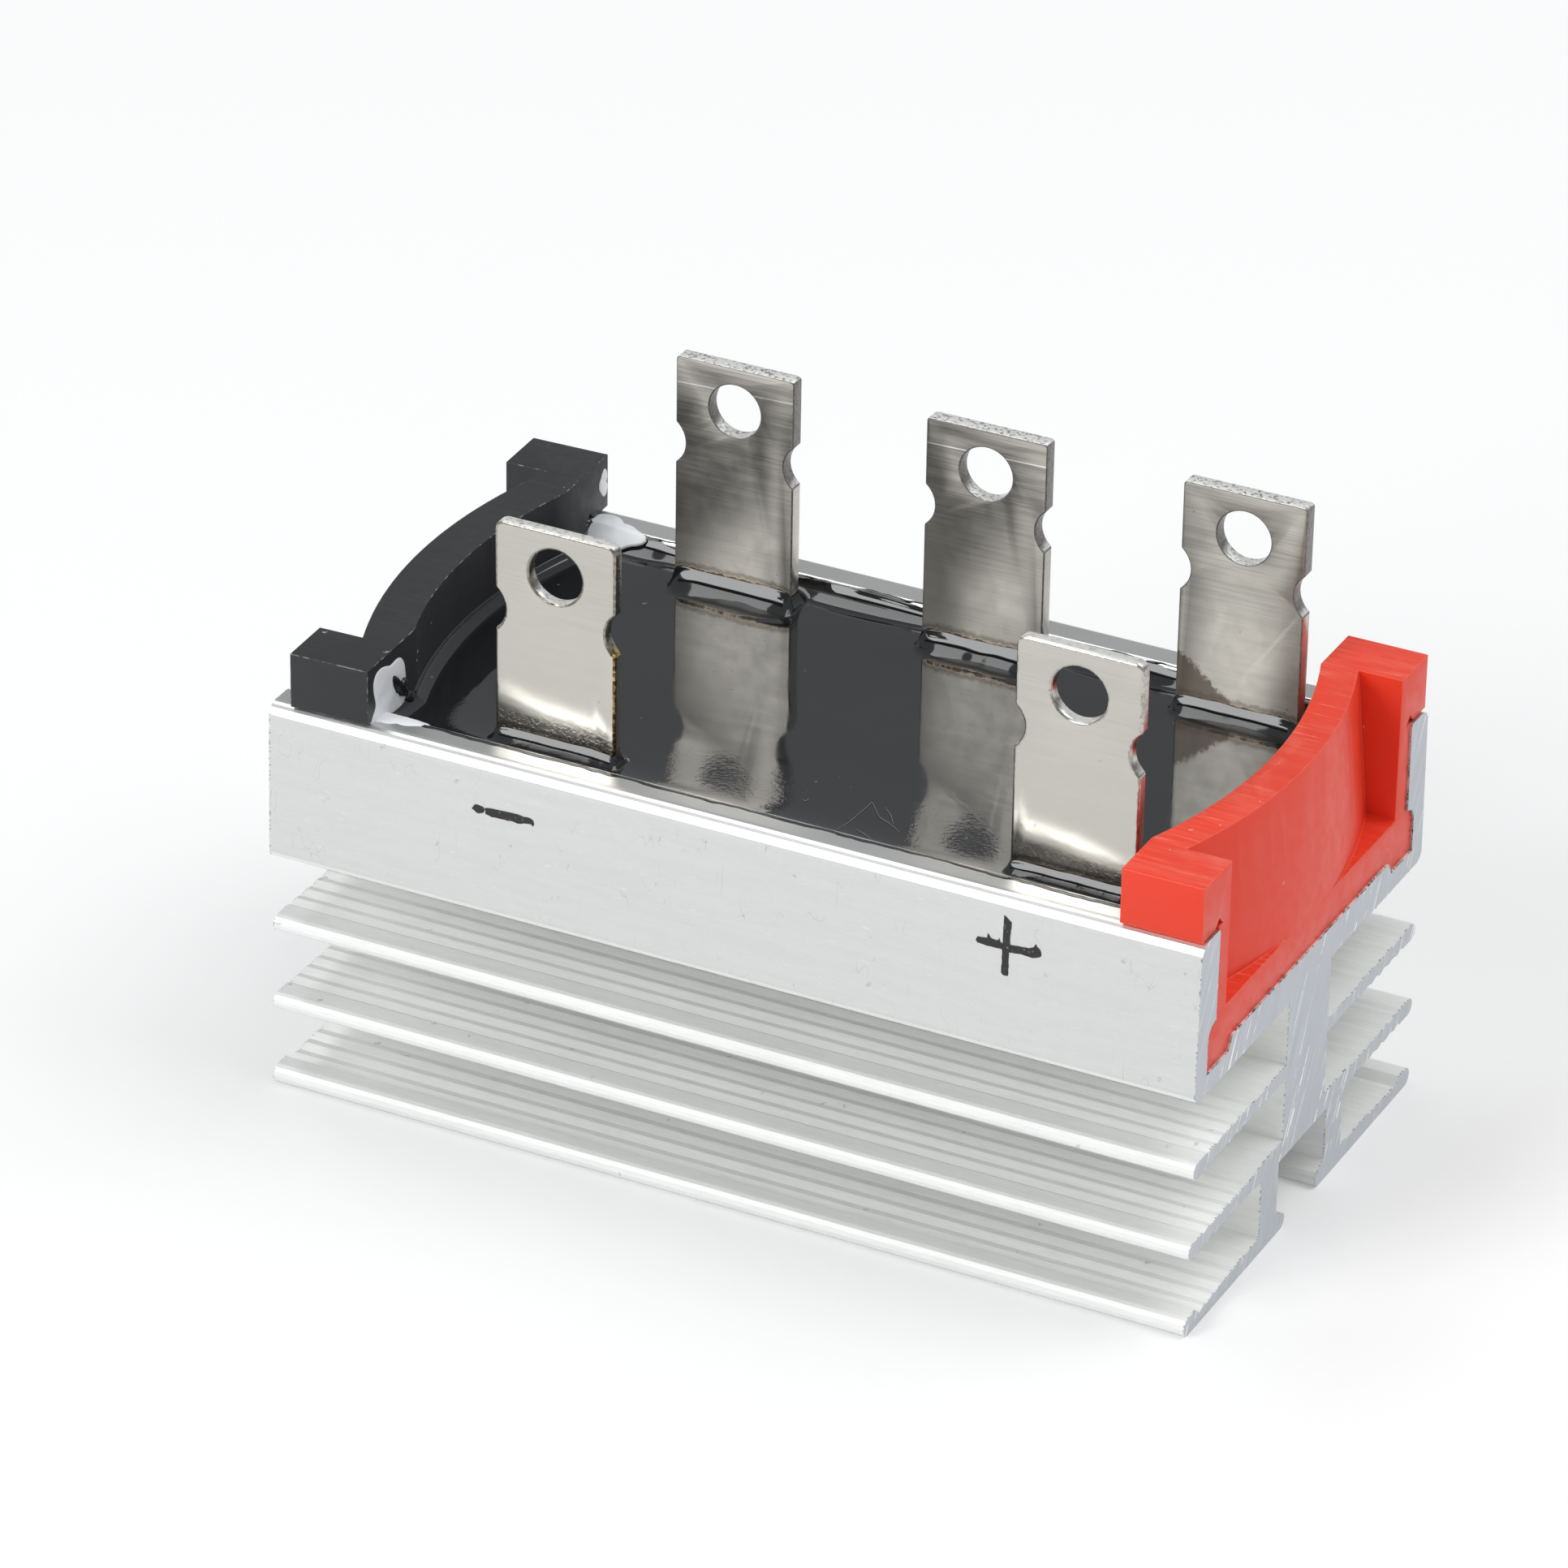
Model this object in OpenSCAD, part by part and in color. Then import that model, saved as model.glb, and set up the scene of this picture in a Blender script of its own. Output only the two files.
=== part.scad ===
// Three-phase bridge rectifier in a finned aluminium extrusion.
// The length runs along X with the positive end at +X, the AC tabs stand on the +Y side,
// and Z = 0 is the flat underside of the lowest fins.

/* [Heat sink] */
// Length of the sawn extrusion
sink_l = 70; // [60:0.5:90]
// Width across the lowest fins
sink_w = 38.1; // [36:0.1:48]
// Amount by which each pair of fins stands inside the pair below it, on each side
fin_step = 0.22; // [0:0.02:0.5]
// Thickness of a fin in the valleys between its ribs
fin_t = 0.85; // [0.6:0.05:1.4]
// Thickness of the smooth margin and the rounded tip of a fin
tip_t = 1.2; // [0.9:0.05:2]
// Width of the smooth margin at the tip of a fin
tip_flat = 2.4; // [1.4:0.1:4]
// Height of the ribs along the fins
rib_h = 0.18; // [0.05:0.01:0.3]
// Distance from one rib to the next
rib_pitch = 1.45; // [1:0.05:2.5]
// Least distance of the first rib from the middle of the section
rib_from = 8; // [7:0.1:12]
// Width of the stem under the trough
stem_w = 6.9; // [4:0.1:9]
// Height of the stem between the slab over the slot and the trough
stem_h = 10.85; // [8:0.05:16]

/* [Slot] */
// Inner width of the T-slot
slot_w = 8.1; // [6:0.1:11]
// Width of the mouth of the T-slot between its lips
mouth_w = 5.2; // [3:0.1:6]
// Height of the slot's ceiling
slot_h = 5.75; // [4.5:0.05:9]
// Thickness of the slot's side legs
leg_t = 2.8; // [2:0.1:4]
// Thickness of the slab over the slot
slab_t = 1.45; // [1.2:0.05:2.5]
// Thickness of the slot's rounded lips
lip_t = 1.25; // [1:0.05:2]
// Rise of a lip towards its leg
lip_rise = 0.42; // [0:0.02:0.8]
// Thickness of the lowest fin at its rounded tip
low_tip_t = 1.35; // [1:0.05:2.5]
// Thickness of the lowest fin beside its margin
low_thin_t = 0.75; // [0.6:0.05:1.4]
// Thickness of the lowest fin at the leg
low_root_t = 1.3; // [0.9:0.05:2.5]

/* [Trough] */
// Height of the trough's walls from its underside
trough_h = 11.95; // [10.5:0.05:16]
// Amount by which the foot of the walls stands inside the lowest fins
trough_in = 0.1; // [0:0.05:1]
// Amount by which the walls lean in over their height
wall_lean = 0.25; // [0:0.05:0.6]
// Thickness of the walls above the undercut
wall_t = 2.85; // [2.2:0.05:3.6]
// Thickness of the walls in the undercut
foot_t = 1.75; // [1.4:0.05:2]
// Height of the undercut above the grooves
undercut_h = 3.7; // [2.8:0.05:4.5]
// Thickness of the floor at its raised middle
floor_t = 2.45; // [1.8:0.05:3.5]
// Depth of the two grooves beside the raised middle
groove_d = 1; // [0.4:0.05:1.4]
// Width of the grooves
groove_w = 3.6; // [2.5:0.05:4]
// Run of the slope from the raised middle down to a groove
groove_run = 0.6; // [0.2:0.05:1.2]
// Radius of the outer lower corners
corner_r = 0.8; // [0.3:0.05:1.5]
// Radius of the outer upper edges
rim_r = 1; // [0.3:0.05:1.4]
// Radius of the inner upper edges
rim_in_r = 0.35; // [0.1:0.05:0.6]

/* [End caps] */
// Length of a cap along the trough
cap_l = 5.95; // [5:0.1:9]
// Height of the ears above the walls
ear_h = 4.2; // [2.5:0.05:7]
// Amount by which an ear stands inside the outer edge of its wall
ear_in = 0.25; // [0:0.05:1]
// Thickness of the posts between the pockets and the walls
post_t = 1.75; // [1.2:0.05:3]
// Radius of the curved wall's outer face at its top
arc_r = 42.5; // [38:0.5:70]
// Thickness of the positive cap's curved wall at its top
plus_arc_t = 2.6; // [1.8:0.1:3.4]
// Thickness of the negative cap's curved wall at its top
minus_arc_t = 3.3; // [1.8:0.1:3.4]
// Setback of the curved wall from the outer end at its top
arc_back = 0.9; // [0.3:0.05:1.4]
// Run of the curved wall's draft down to the pocket floors
arc_draft = 1.03; // [0.2:0.01:1.3]
// Height of the pocket floors above the raised floor
band_h = 2.8; // [1.5:0.05:5]
// Side of the chamfer between an ear and its post
ear_relief = 0.65; // [0.2:0.05:1]
// Clearance of a cap beside and under the trough's walls
cap_gap = 0.05; // [0.02:0.01:0.2]
// Clearance between an ear and the top of its wall
ear_gap = 0.1; // [0.05:0.01:0.3]
// Inset of the positive cap from the sawn end
plus_in = 0.15; // [0:0.05:2]
// Inset of the negative cap from the sawn end
minus_in = 1; // [0:0.05:3]
// Angle in degrees by which the negative cap sits askew in the trough
minus_skew = 1.8; // [0:0.1:2.5]

/* [Potting] */
// Drop of the potting's surface below the top of the walls
fill_drop = 0.6; // [0.4:0.05:2]
// Radius of the hollow curve in which the resin climbs the tabs
climb_r = 1.2; // [0.4:0.1:1.6]
// Thickness of the white sealant at its upper edge
seal_t = 0.35; // [0.2:0.05:0.6]
// Reach of the sealant from the negative cap's ears along the trough
seal_l = 1.8; // [1:0.1:4]
// Amount by which the sealant stays below the top of the ears
seal_drop = 0.3; // [0.1:0.05:2]
// Amount by which the sealant stays inside the outer faces of the ears
seal_in = 0.35; // [0.2:0.05:2]

/* [Terminals] */
// Width of the tabs
tab_w = 9.2; // [6.3:0.1:9.6]
// Thickness of the AC tabs
ac_t = 1.2; // [0.8:0.05:1.5]
// Thickness of the positive and negative tabs
dc_t = 1; // [0.8:0.05:1.5]
// Distance from one AC tab to the next
tab_pitch = 19.4; // [15:0.1:19.8]
// Offset of the middle tab from the middle of the extrusion
tab_shift = 3.9; // [0:0.1:4]
// Distance of the middle plane of the tabs from the inner face of their wall
tab_in = 2.65; // [1.8:0.05:4]
// Heights of the AC tabs above the walls, from the negative end
ac_rise = [16.6, 16.4, 16.2]; // [14:0.1:22]
// Heights of the negative and positive tabs above the walls
dc_rise = [15.6, 16.6]; // [14:0.1:22]
// Diameter of the hole in a tab
hole_d = 4; // [3:0.1:4.5]
// Depth of the hole's centre below the top of its tab
hole_drop = 3.3; // [2.8:0.1:4]
// Radius of the notches in the sides of a tab
notch_r = 2; // [1.5:0.1:3]
// Depth of the notches
notch_d = 0.75; // [0.3:0.05:1]
// Depth of the notches' centres below the top of the tab
notch_drop = 6.7; // [6:0.1:9]
// Radius of the top corners of the positive and negative tabs
dc_corner = 0.7; // [0.2:0.05:1.5]
// Radius of the top corners of the AC tabs
ac_corner = 0.3; // [0.2:0.05:1.5]
// Inner radius of the bend at the foot of a tab
bend_r = 0.8; // [0.4:0.1:1.2]

/* [Rectifier stack] */
// Thickness of the insulating plate
insulator_t = 0.8; // [0.4:0.05:1.2]
// Margin of the insulating plate round the bus plates, along the trough
insulator_over = 1; // [0.2:0.1:1.2]
// Thickness of the bus plates
bus_t = 1; // [0.6:0.05:1.2]
// Width of the negative bus plate
bus_minus_w = 12; // [8:0.5:16]
// Width of the positive bus plate
bus_plus_w = 8; // [6:0.5:12]
// Side of a square diode die
die_w = 5; // [3:0.1:6]
// Thickness of a die with its solder
die_t = 0.4; // [0.3:0.05:0.8]
// Reach of an AC strap past the middle of its dies
strap_over = 3.5; // [3:0.1:5]
// Length of the feet of the positive and negative tabs
dc_foot = 5; // [3:0.1:6]

/* [Hidden] */
$fn = 96;
aluminium = [0.8, 0.81, 0.82];
nickel = [0.72, 0.7, 0.66];
copper = [0.72, 0.45, 0.3];
eps = 0.01;
// Distance by which a cutting shape runs past what it cuts
over = 1;
arc_steps = 6;
// Points drawn on each rib
rib_steps = 4;

// Heights, counted up from the underside
slab_z = slot_h + slab_t;
trough_z = slab_z + stem_h;
floor_z = trough_z + floor_t;
groove_z = floor_z - groove_d;
undercut_z = groove_z + undercut_h;
wall_z = trough_z + trough_h;
fill_z = wall_z - fill_drop;
ear_z = wall_z + ear_h;
band_z = floor_z + band_h;

// Half widths of the trough: its outside, and its inner faces above and in the undercut
wall_y = sink_w / 2 - trough_in;
function outer_y(z) = wall_y - wall_lean * (z - trough_z) / trough_h;
function inner_y(z) = outer_y(z) - wall_t;
foot_y = outer_y(groove_z) - foot_t;
rise_y = foot_y - groove_w - groove_run;

// Levels of the stack, from the insulating plate to the positive bus
bus_minus_z = floor_z + insulator_t;
die_low_z = bus_minus_z + bus_t;
strap_z = die_low_z + die_t;
die_high_z = strap_z + ac_t;
bus_plus_z = die_high_z + die_t;
tab_x = [for (i = [-1:1]) tab_shift + i * tab_pitch];
tab_y = inner_y(fill_z) - tab_in;
bus_l = 2 * tab_pitch + tab_w;

plus_x = sink_l / 2 - plus_in;
minus_x = sink_l / 2 - minus_in;

function arc(y, z, r, a0, a1) = [for (i = [0:arc_steps])
    let (a = a0 + (a1 - a0) * i / arc_steps) [y + r * cos(a), z + r * sin(a)]];
function backwards(p) = [for (i = [len(p) - 1:-1:0]) p[i]];
function both_sides(p) = concat(p, [for (q = backwards(p)) [-q[0], q[1]]]);

// Number of ribs that fit on a fin with its tip at y, and the place where they begin
function rib_count(y) = floor((y - tip_flat - rib_from) / rib_pitch);
function rib_start(y) = y - tip_flat - rib_count(y) * rib_pitch;
// Height of the rib outline after a share k of one pitch
function rib_wave(k) = rib_h * (1 - cos(360 * k)) / 2;

// One face of a fin from its root at y0 to the rounded tip at y1, as distances from its middle plane
function fin_face(y0, y1, root_t) = concat(
    [[y0, root_t / 2]],
    [for (i = [0:rib_count(y1) * rib_steps])
        [rib_start(y1) + i * rib_pitch / rib_steps, fin_t / 2 + rib_wave(i / rib_steps)]],
    [[y1 - tip_flat + (tip_t - fin_t), tip_t / 2], [y1 - tip_t / 2, tip_t / 2]]);

// The outline of a fin at middle height z: out along its underside, round its tip and back
function fin(y0, y1, z, root_t) = concat(
    [for (p = fin_face(y0, y1, root_t)) [p[0], z - p[1]]],
    arc(y1 - tip_t / 2, z, tip_t / 2, -90, 90),
    [for (p = backwards(fin_face(y0, y1, root_t))) [p[0], z + p[1]]]);

// The lowest fin has a flat underside: the outline goes round its tip and back over its ribs
function low_fin(y0, y1) =
    let (y_thin = y1 - tip_flat, n = rib_count(y1) * rib_steps)
    concat(
        arc(y1 - low_tip_t / 2, low_tip_t / 2, low_tip_t / 2, -90, 90),
        [[y_thin + (low_tip_t - low_thin_t), low_tip_t]],
        [for (i = [n:-1:0])
            let (y = rib_start(y1) + i * rib_pitch / rib_steps)
            [y, low_thin_t + (low_root_t - low_thin_t) * (y_thin - y) / (y_thin - y0)
                + rib_wave(i / rib_steps)]],
        [[y0, low_root_t]]);

// Half of the trough's hollow, out over the floor and up the wall to z_top, drawn in by gap
function hollow(z_top, gap = 0) =
    let (step_r = foot_y - inner_y(undercut_z))
    concat(
        [[rise_y + gap, floor_z], [rise_y + groove_run + gap, groove_z + gap],
            [foot_y - gap, groove_z + gap]],
        arc(foot_y - gap - step_r, undercut_z - gap - step_r, step_r, 0, 90),
        [[inner_y(z_top) - gap, z_top]]);

// Half of the extrusion's section, from the slot's ceiling round the outside to the trough's floor
function sink_half() =
    let (y_leg = slot_w / 2 + leg_t, y_stem = stem_w / 2, y_low = sink_w / 2,
        z_mid = slot_h + slab_t / 2, z_top = (slab_z + trough_z) / 2)
    concat(
        [[slot_w / 2, slot_h], [slot_w / 2, lip_t + lip_rise]],
        arc(mouth_w / 2 + lip_t / 2, lip_t / 2, lip_t / 2, 90, 270),
        low_fin(y_leg, y_low),
        [[y_leg, slot_h]],
        fin(y_leg + eps, y_low - fin_step, z_mid, slab_t),
        [[y_stem, slab_z]],
        fin(y_stem, y_low - 2 * fin_step, z_top, fin_t + rib_h),
        [[y_stem, trough_z]],
        arc(wall_y - corner_r, trough_z + corner_r, corner_r, -90, 0),
        arc(outer_y(wall_z) - rim_r, wall_z - rim_r, rim_r, 0, 90),
        arc(inner_y(wall_z) + rim_in_r, wall_z - rim_in_r, rim_in_r, 90, 180),
        backwards(hollow(wall_z - rim_in_r)));

// Draws a section of Y and Z and runs it along X from x0 to x1
module along_x(x0, x1, section) {
    translate([x0, 0, 0]) rotate([90, 0, 90]) linear_extrude(x1 - x0) polygon(section);
}

// Draws an outline of X and Z and runs it along Y from y0 to y1
module along_y(y0, y1, outline) {
    translate([0, y1, 0]) rotate([90, 0, 0]) linear_extrude(y1 - y0) polygon(outline);
}

module heat_sink() {
    color(aluminium) along_x(-sink_l / 2, sink_l / 2, both_sides(sink_half()));
}

// Half width at which the inner face of a curved wall of thickness t meets the cap's inner end
function arc_reach(t) = let (r = arc_r - t) sqrt(r * r - pow(r - cap_l + arc_back + t, 2));

// Moves a cap from its outer end at X = 0 to its place, with side 1 for the positive end
module place_cap(side) {
    if (side > 0)
        translate([plus_x, 0, 0]) children();
    else
        translate([-minus_x, 0, 0]) rotate([0, 0, minus_skew]) mirror([1, 0, 0]) children();
}

// The hollow side of a cap: an upright cylinder whose far side is the curved wall's inner face
module cap_bay(t) {
    translate([-arc_back - arc_r, 0, groove_z - over])
        cylinder(r = arc_r - t, h = ear_z - groove_z + 2 * over, $fn = 192);
}

// A moulded cap with its outer end at X = 0: two ears, a curved wall of thickness t between them
// that leans back towards its top, and a pocket behind each end of that wall
module end_cap(t, gap) {
    pocket_y = inner_y(wall_z) - post_t;
    y_post = inner_y(wall_z) - gap;
    y_ear = outer_y(wall_z) - ear_in;
    half = concat(hollow(wall_z + ear_gap, gap), [[y_ear, wall_z + ear_gap], [y_ear, ear_z]]);
    difference() {
        along_x(-cap_l, 0, both_sides(half));
        cap_bay(t);
        difference() {
            translate([over - cap_l, -pocket_y, band_z])
                cube([cap_l, 2 * pocket_y, ear_z - band_z + over]);
            translate([-arc_back - arc_r, 0, band_z])
                cylinder(r1 = arc_r + arc_draft, r2 = arc_r, h = ear_z - band_z, $fn = 192);
        }
        for (s = [-1, 1])
            along_x(-cap_l - over, over, [[s * (y_post - ear_relief), wall_z + ear_gap - 2 * eps],
                [s * (y_post + 2 * eps), wall_z + ear_gap + ear_relief],
                [s * (y_post + ear_relief), wall_z + ear_gap - 2 * eps]]);
    }
}

module end_cap_plus() {
    color([0.86, 0.16, 0.11]) place_cap(1) end_cap(plus_arc_t, cap_gap);
}

// The negative cap has the extra room at its sides that its skew needs
module end_cap_minus() {
    color([0.13, 0.14, 0.15]) place_cap(-1) end_cap(minus_arc_t, cap_gap + cap_l * sin(minus_skew));
}

// Everything beyond the inner face of a cap, which bounds the potting
module beyond_cap(side, t) {
    place_cap(side)
        difference() {
            translate([-cap_l, -sink_w, trough_z]) cube([2 * cap_l, 2 * sink_w, ear_z - trough_z]);
            cap_bay(t);
        }
}

// Resin that climbs every face of a tab of thickness t in a hollow curve
module climb(x, side, t) {
    curve = arc(climb_r, climb_r, climb_r, 270, 180);
    translate([x, side * tab_y, fill_z - eps]) {
        along_x(-tab_w / 2, tab_w / 2, both_sides([for (p = curve) [p[0] + t / 2, p[1]]]));
        along_y(-t / 2, t / 2, both_sides([for (p = curve) [p[0] + tab_w / 2, p[1]]]));
        for (k = [0:3])
            translate([(k == 0 || k == 3 ? 1 : -1) * tab_w / 2, (k < 2 ? 1 : -1) * t / 2, 0])
                rotate([0, 0, 90 * k]) rotate_extrude(angle = 90) polygon(concat([[0, 0]], curve));
    }
}

module potting() {
    color([0.1, 0.1, 0.11])
        difference() {
            union() {
                along_x(-minus_x, plus_x, both_sides(hollow(fill_z)));
                for (i = [0:2])
                    climb(tab_x[i], 1, ac_t);
                for (i = [0, 2])
                    climb(tab_x[i], -1, dc_t);
            }
            beyond_cap(1, plus_arc_t);
            beyond_cap(-1, minus_arc_t);
            insulator();
            bus_minus();
            bus_plus();
            for (i = [0:2]) {
                die(i, die_low_z);
                die(i, die_high_z);
                terminal_ac(i);
            }
            terminal_minus();
            terminal_plus();
        }
}

// White sealant smeared over the inner face of an ear and down into the corner with the potting
module sealant(side) {
    y0 = arc_reach(minus_arc_t) + eps;
    y1 = outer_y(wall_z) - ear_in - seal_in;
    h = ear_z - seal_drop - fill_z;
    profile = concat([[-cap_l, fill_z + h], [-cap_l, fill_z]],
        [for (i = [0:arc_steps]) let (k = i / arc_steps)
            [-cap_l - seal_t - (seal_l - seal_t) * pow(1 - k, 3), fill_z + h * k]]);
    color([0.93, 0.94, 0.95])
        difference() {
            place_cap(-1) along_y(side > 0 ? y0 : -y1, side > 0 ? y1 : -y0, profile);
            heat_sink();
        }
}

module sealant_front() {
    sealant(-1);
}

module sealant_back() {
    sealant(1);
}

// A plated strip: its foot lies flat at z_foot and the rest is bent up into a tab at side * tab_y,
// with a hole and two notches below its rounded top
module terminal(x, side, t, z_foot, foot_l, z_top, corner) {
    bend = bend_r + t;
    strip = concat(
        [[-foot_l, 0]],
        arc(-bend, bend, bend, -90, 0),
        [[0, z_top - z_foot], [-t, z_top - z_foot]],
        arc(-bend, bend, bend_r, 0, -90),
        [[-foot_l, t]]);
    outline = concat(
        [[-tab_w / 2, z_foot - over], [tab_w / 2, z_foot - over]],
        arc(tab_w / 2 - corner, z_top - corner, corner, 0, 90),
        arc(-tab_w / 2 + corner, z_top - corner, corner, 90, 180));
    color(nickel) translate([x, 0, 0])
        difference() {
            intersection() {
                along_x(-tab_w / 2, tab_w / 2,
                    [for (p = strip) [side * (tab_y + t / 2 + p[0]), z_foot + p[1]]]);
                along_y(-sink_w, sink_w, outline);
            }
            translate([0, side * tab_y, z_top - hole_drop]) rotate([90, 0, 0])
                cylinder(d = hole_d, h = t + 2 * over, center = true);
            for (s = [-1, 1])
                translate([s * (tab_w / 2 + notch_r - notch_d), side * tab_y, z_top - notch_drop])
                    rotate([90, 0, 0]) cylinder(r = notch_r, h = t + 2 * over, center = true);
        }
}

module terminal_ac(i) {
    terminal(tab_x[i], 1, ac_t, strap_z, tab_y + ac_t / 2 + strap_over, wall_z + ac_rise[i], ac_corner);
}

module terminal_minus() {
    terminal(tab_x[0], -1, dc_t, die_low_z, dc_foot, wall_z + dc_rise[0], dc_corner);
}

module terminal_plus() {
    terminal(tab_x[2], -1, dc_t, bus_plus_z + bus_t, dc_foot, wall_z + dc_rise[1], dc_corner);
}

module insulator() {
    color([0.9, 0.9, 0.86])
        translate([tab_shift - bus_l / 2 - insulator_over, -rise_y, floor_z])
            cube([bus_l + 2 * insulator_over, 2 * rise_y, insulator_t]);
}

// A bus plate under or over the dies, with a lug that carries the foot of the tab at x_lug
module bus(w, z, x_lug) {
    color(copper) {
        translate([tab_shift - bus_l / 2, -w / 2, z]) cube([bus_l, w, bus_t]);
        translate([x_lug - tab_w / 2, -tab_y - dc_t / 2, z]) cube([tab_w, tab_y + dc_t / 2, bus_t]);
    }
}

module bus_minus() {
    bus(bus_minus_w, bus_minus_z, tab_x[0]);
}

module bus_plus() {
    bus(bus_plus_w, bus_plus_z, tab_x[2]);
}

module die(i, z) {
    color([0.35, 0.36, 0.4]) translate([tab_x[i] - die_w / 2, -die_w / 2, z]) cube([die_w, die_w, die_t]);
}

heat_sink();
end_cap_minus();
end_cap_plus();
potting();
sealant_front();
sealant_back();
terminal_minus();
terminal_plus();
terminal_ac(0);  // terminal_ac_1
terminal_ac(1);  // terminal_ac_2
terminal_ac(2);  // terminal_ac_3
insulator();
bus_minus();
bus_plus();
die(0, die_low_z);  // die_low_1
die(1, die_low_z);  // die_low_2
die(2, die_low_z);  // die_low_3
die(0, die_high_z);  // die_high_1
die(1, die_high_z);  // die_high_2
die(2, die_high_z);  // die_high_3
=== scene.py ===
"""A three-phase bridge rectifier in a finned aluminium extrusion, dressed and lit for the camera.

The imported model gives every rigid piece. This script gives the pieces their finishes, breaks
their edges, and adds what is finer than the model: the cast skin of the potting as it climbs
what it wets, the burrs of the saw cut, the ink signs, the smears of sealant, hairs and dust.
Lengths in the classes are millimetres, and meshes are written in metres.
"""

import logging
import math
from dataclasses import dataclass, field
from enum import Enum
from functools import partialmethod
from typing import Callable, Iterable, Optional, Sequence, Union

import bmesh
import bpy
import numpy as np
from mathutils import Matrix, Vector


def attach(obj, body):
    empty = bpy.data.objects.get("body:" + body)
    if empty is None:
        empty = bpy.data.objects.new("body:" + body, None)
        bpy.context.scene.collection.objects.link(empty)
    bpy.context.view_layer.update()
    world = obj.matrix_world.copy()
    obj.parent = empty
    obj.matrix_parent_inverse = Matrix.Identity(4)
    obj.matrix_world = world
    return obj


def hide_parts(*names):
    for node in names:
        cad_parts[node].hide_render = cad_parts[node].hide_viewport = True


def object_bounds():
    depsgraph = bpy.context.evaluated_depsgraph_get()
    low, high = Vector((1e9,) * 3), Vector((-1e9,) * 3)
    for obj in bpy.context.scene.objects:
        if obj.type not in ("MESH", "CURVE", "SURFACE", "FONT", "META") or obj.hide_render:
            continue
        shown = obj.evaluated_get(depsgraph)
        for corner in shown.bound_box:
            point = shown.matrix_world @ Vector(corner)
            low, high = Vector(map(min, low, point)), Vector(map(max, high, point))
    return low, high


LOG = logging.getLogger("rectifier")
MM = 0.001
BODY = "root"
SHARP = math.radians(28.0)  # the least angle of an edge that counts as sharp
SAME = math.radians(0.6)  # the most between two faces that are merged
BEAD_HALF = 4.95  # half the length over which a tab's bead of resin keeps its height
LENS_HALF = 5.2  # half the length over which the same bead keeps its reach
OPEN = 9.0  # a distance from a cap at which it no longer lifts the resin
WHITE = (1.0, 1.0, 1.0, 1.0)

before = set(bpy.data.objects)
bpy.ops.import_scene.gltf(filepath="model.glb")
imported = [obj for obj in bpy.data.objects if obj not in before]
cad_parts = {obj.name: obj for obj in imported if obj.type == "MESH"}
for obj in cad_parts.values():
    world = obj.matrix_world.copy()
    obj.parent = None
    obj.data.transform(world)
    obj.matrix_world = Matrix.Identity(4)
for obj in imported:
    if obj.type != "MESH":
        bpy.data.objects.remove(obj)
CAD_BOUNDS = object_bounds()

Colour = tuple[float, float, float]
Point2 = tuple[float, float]
Array = np.ndarray
Socket = bpy.types.NodeSocket
Outputs = bpy.types.NodeOutputs
Tree = bpy.types.NodeTree
Material = bpy.types.Material


class Side(Enum):
    """The two long sides of the trough, with the sign of Y on each."""

    FRONT = -1
    BACK = 1


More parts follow.
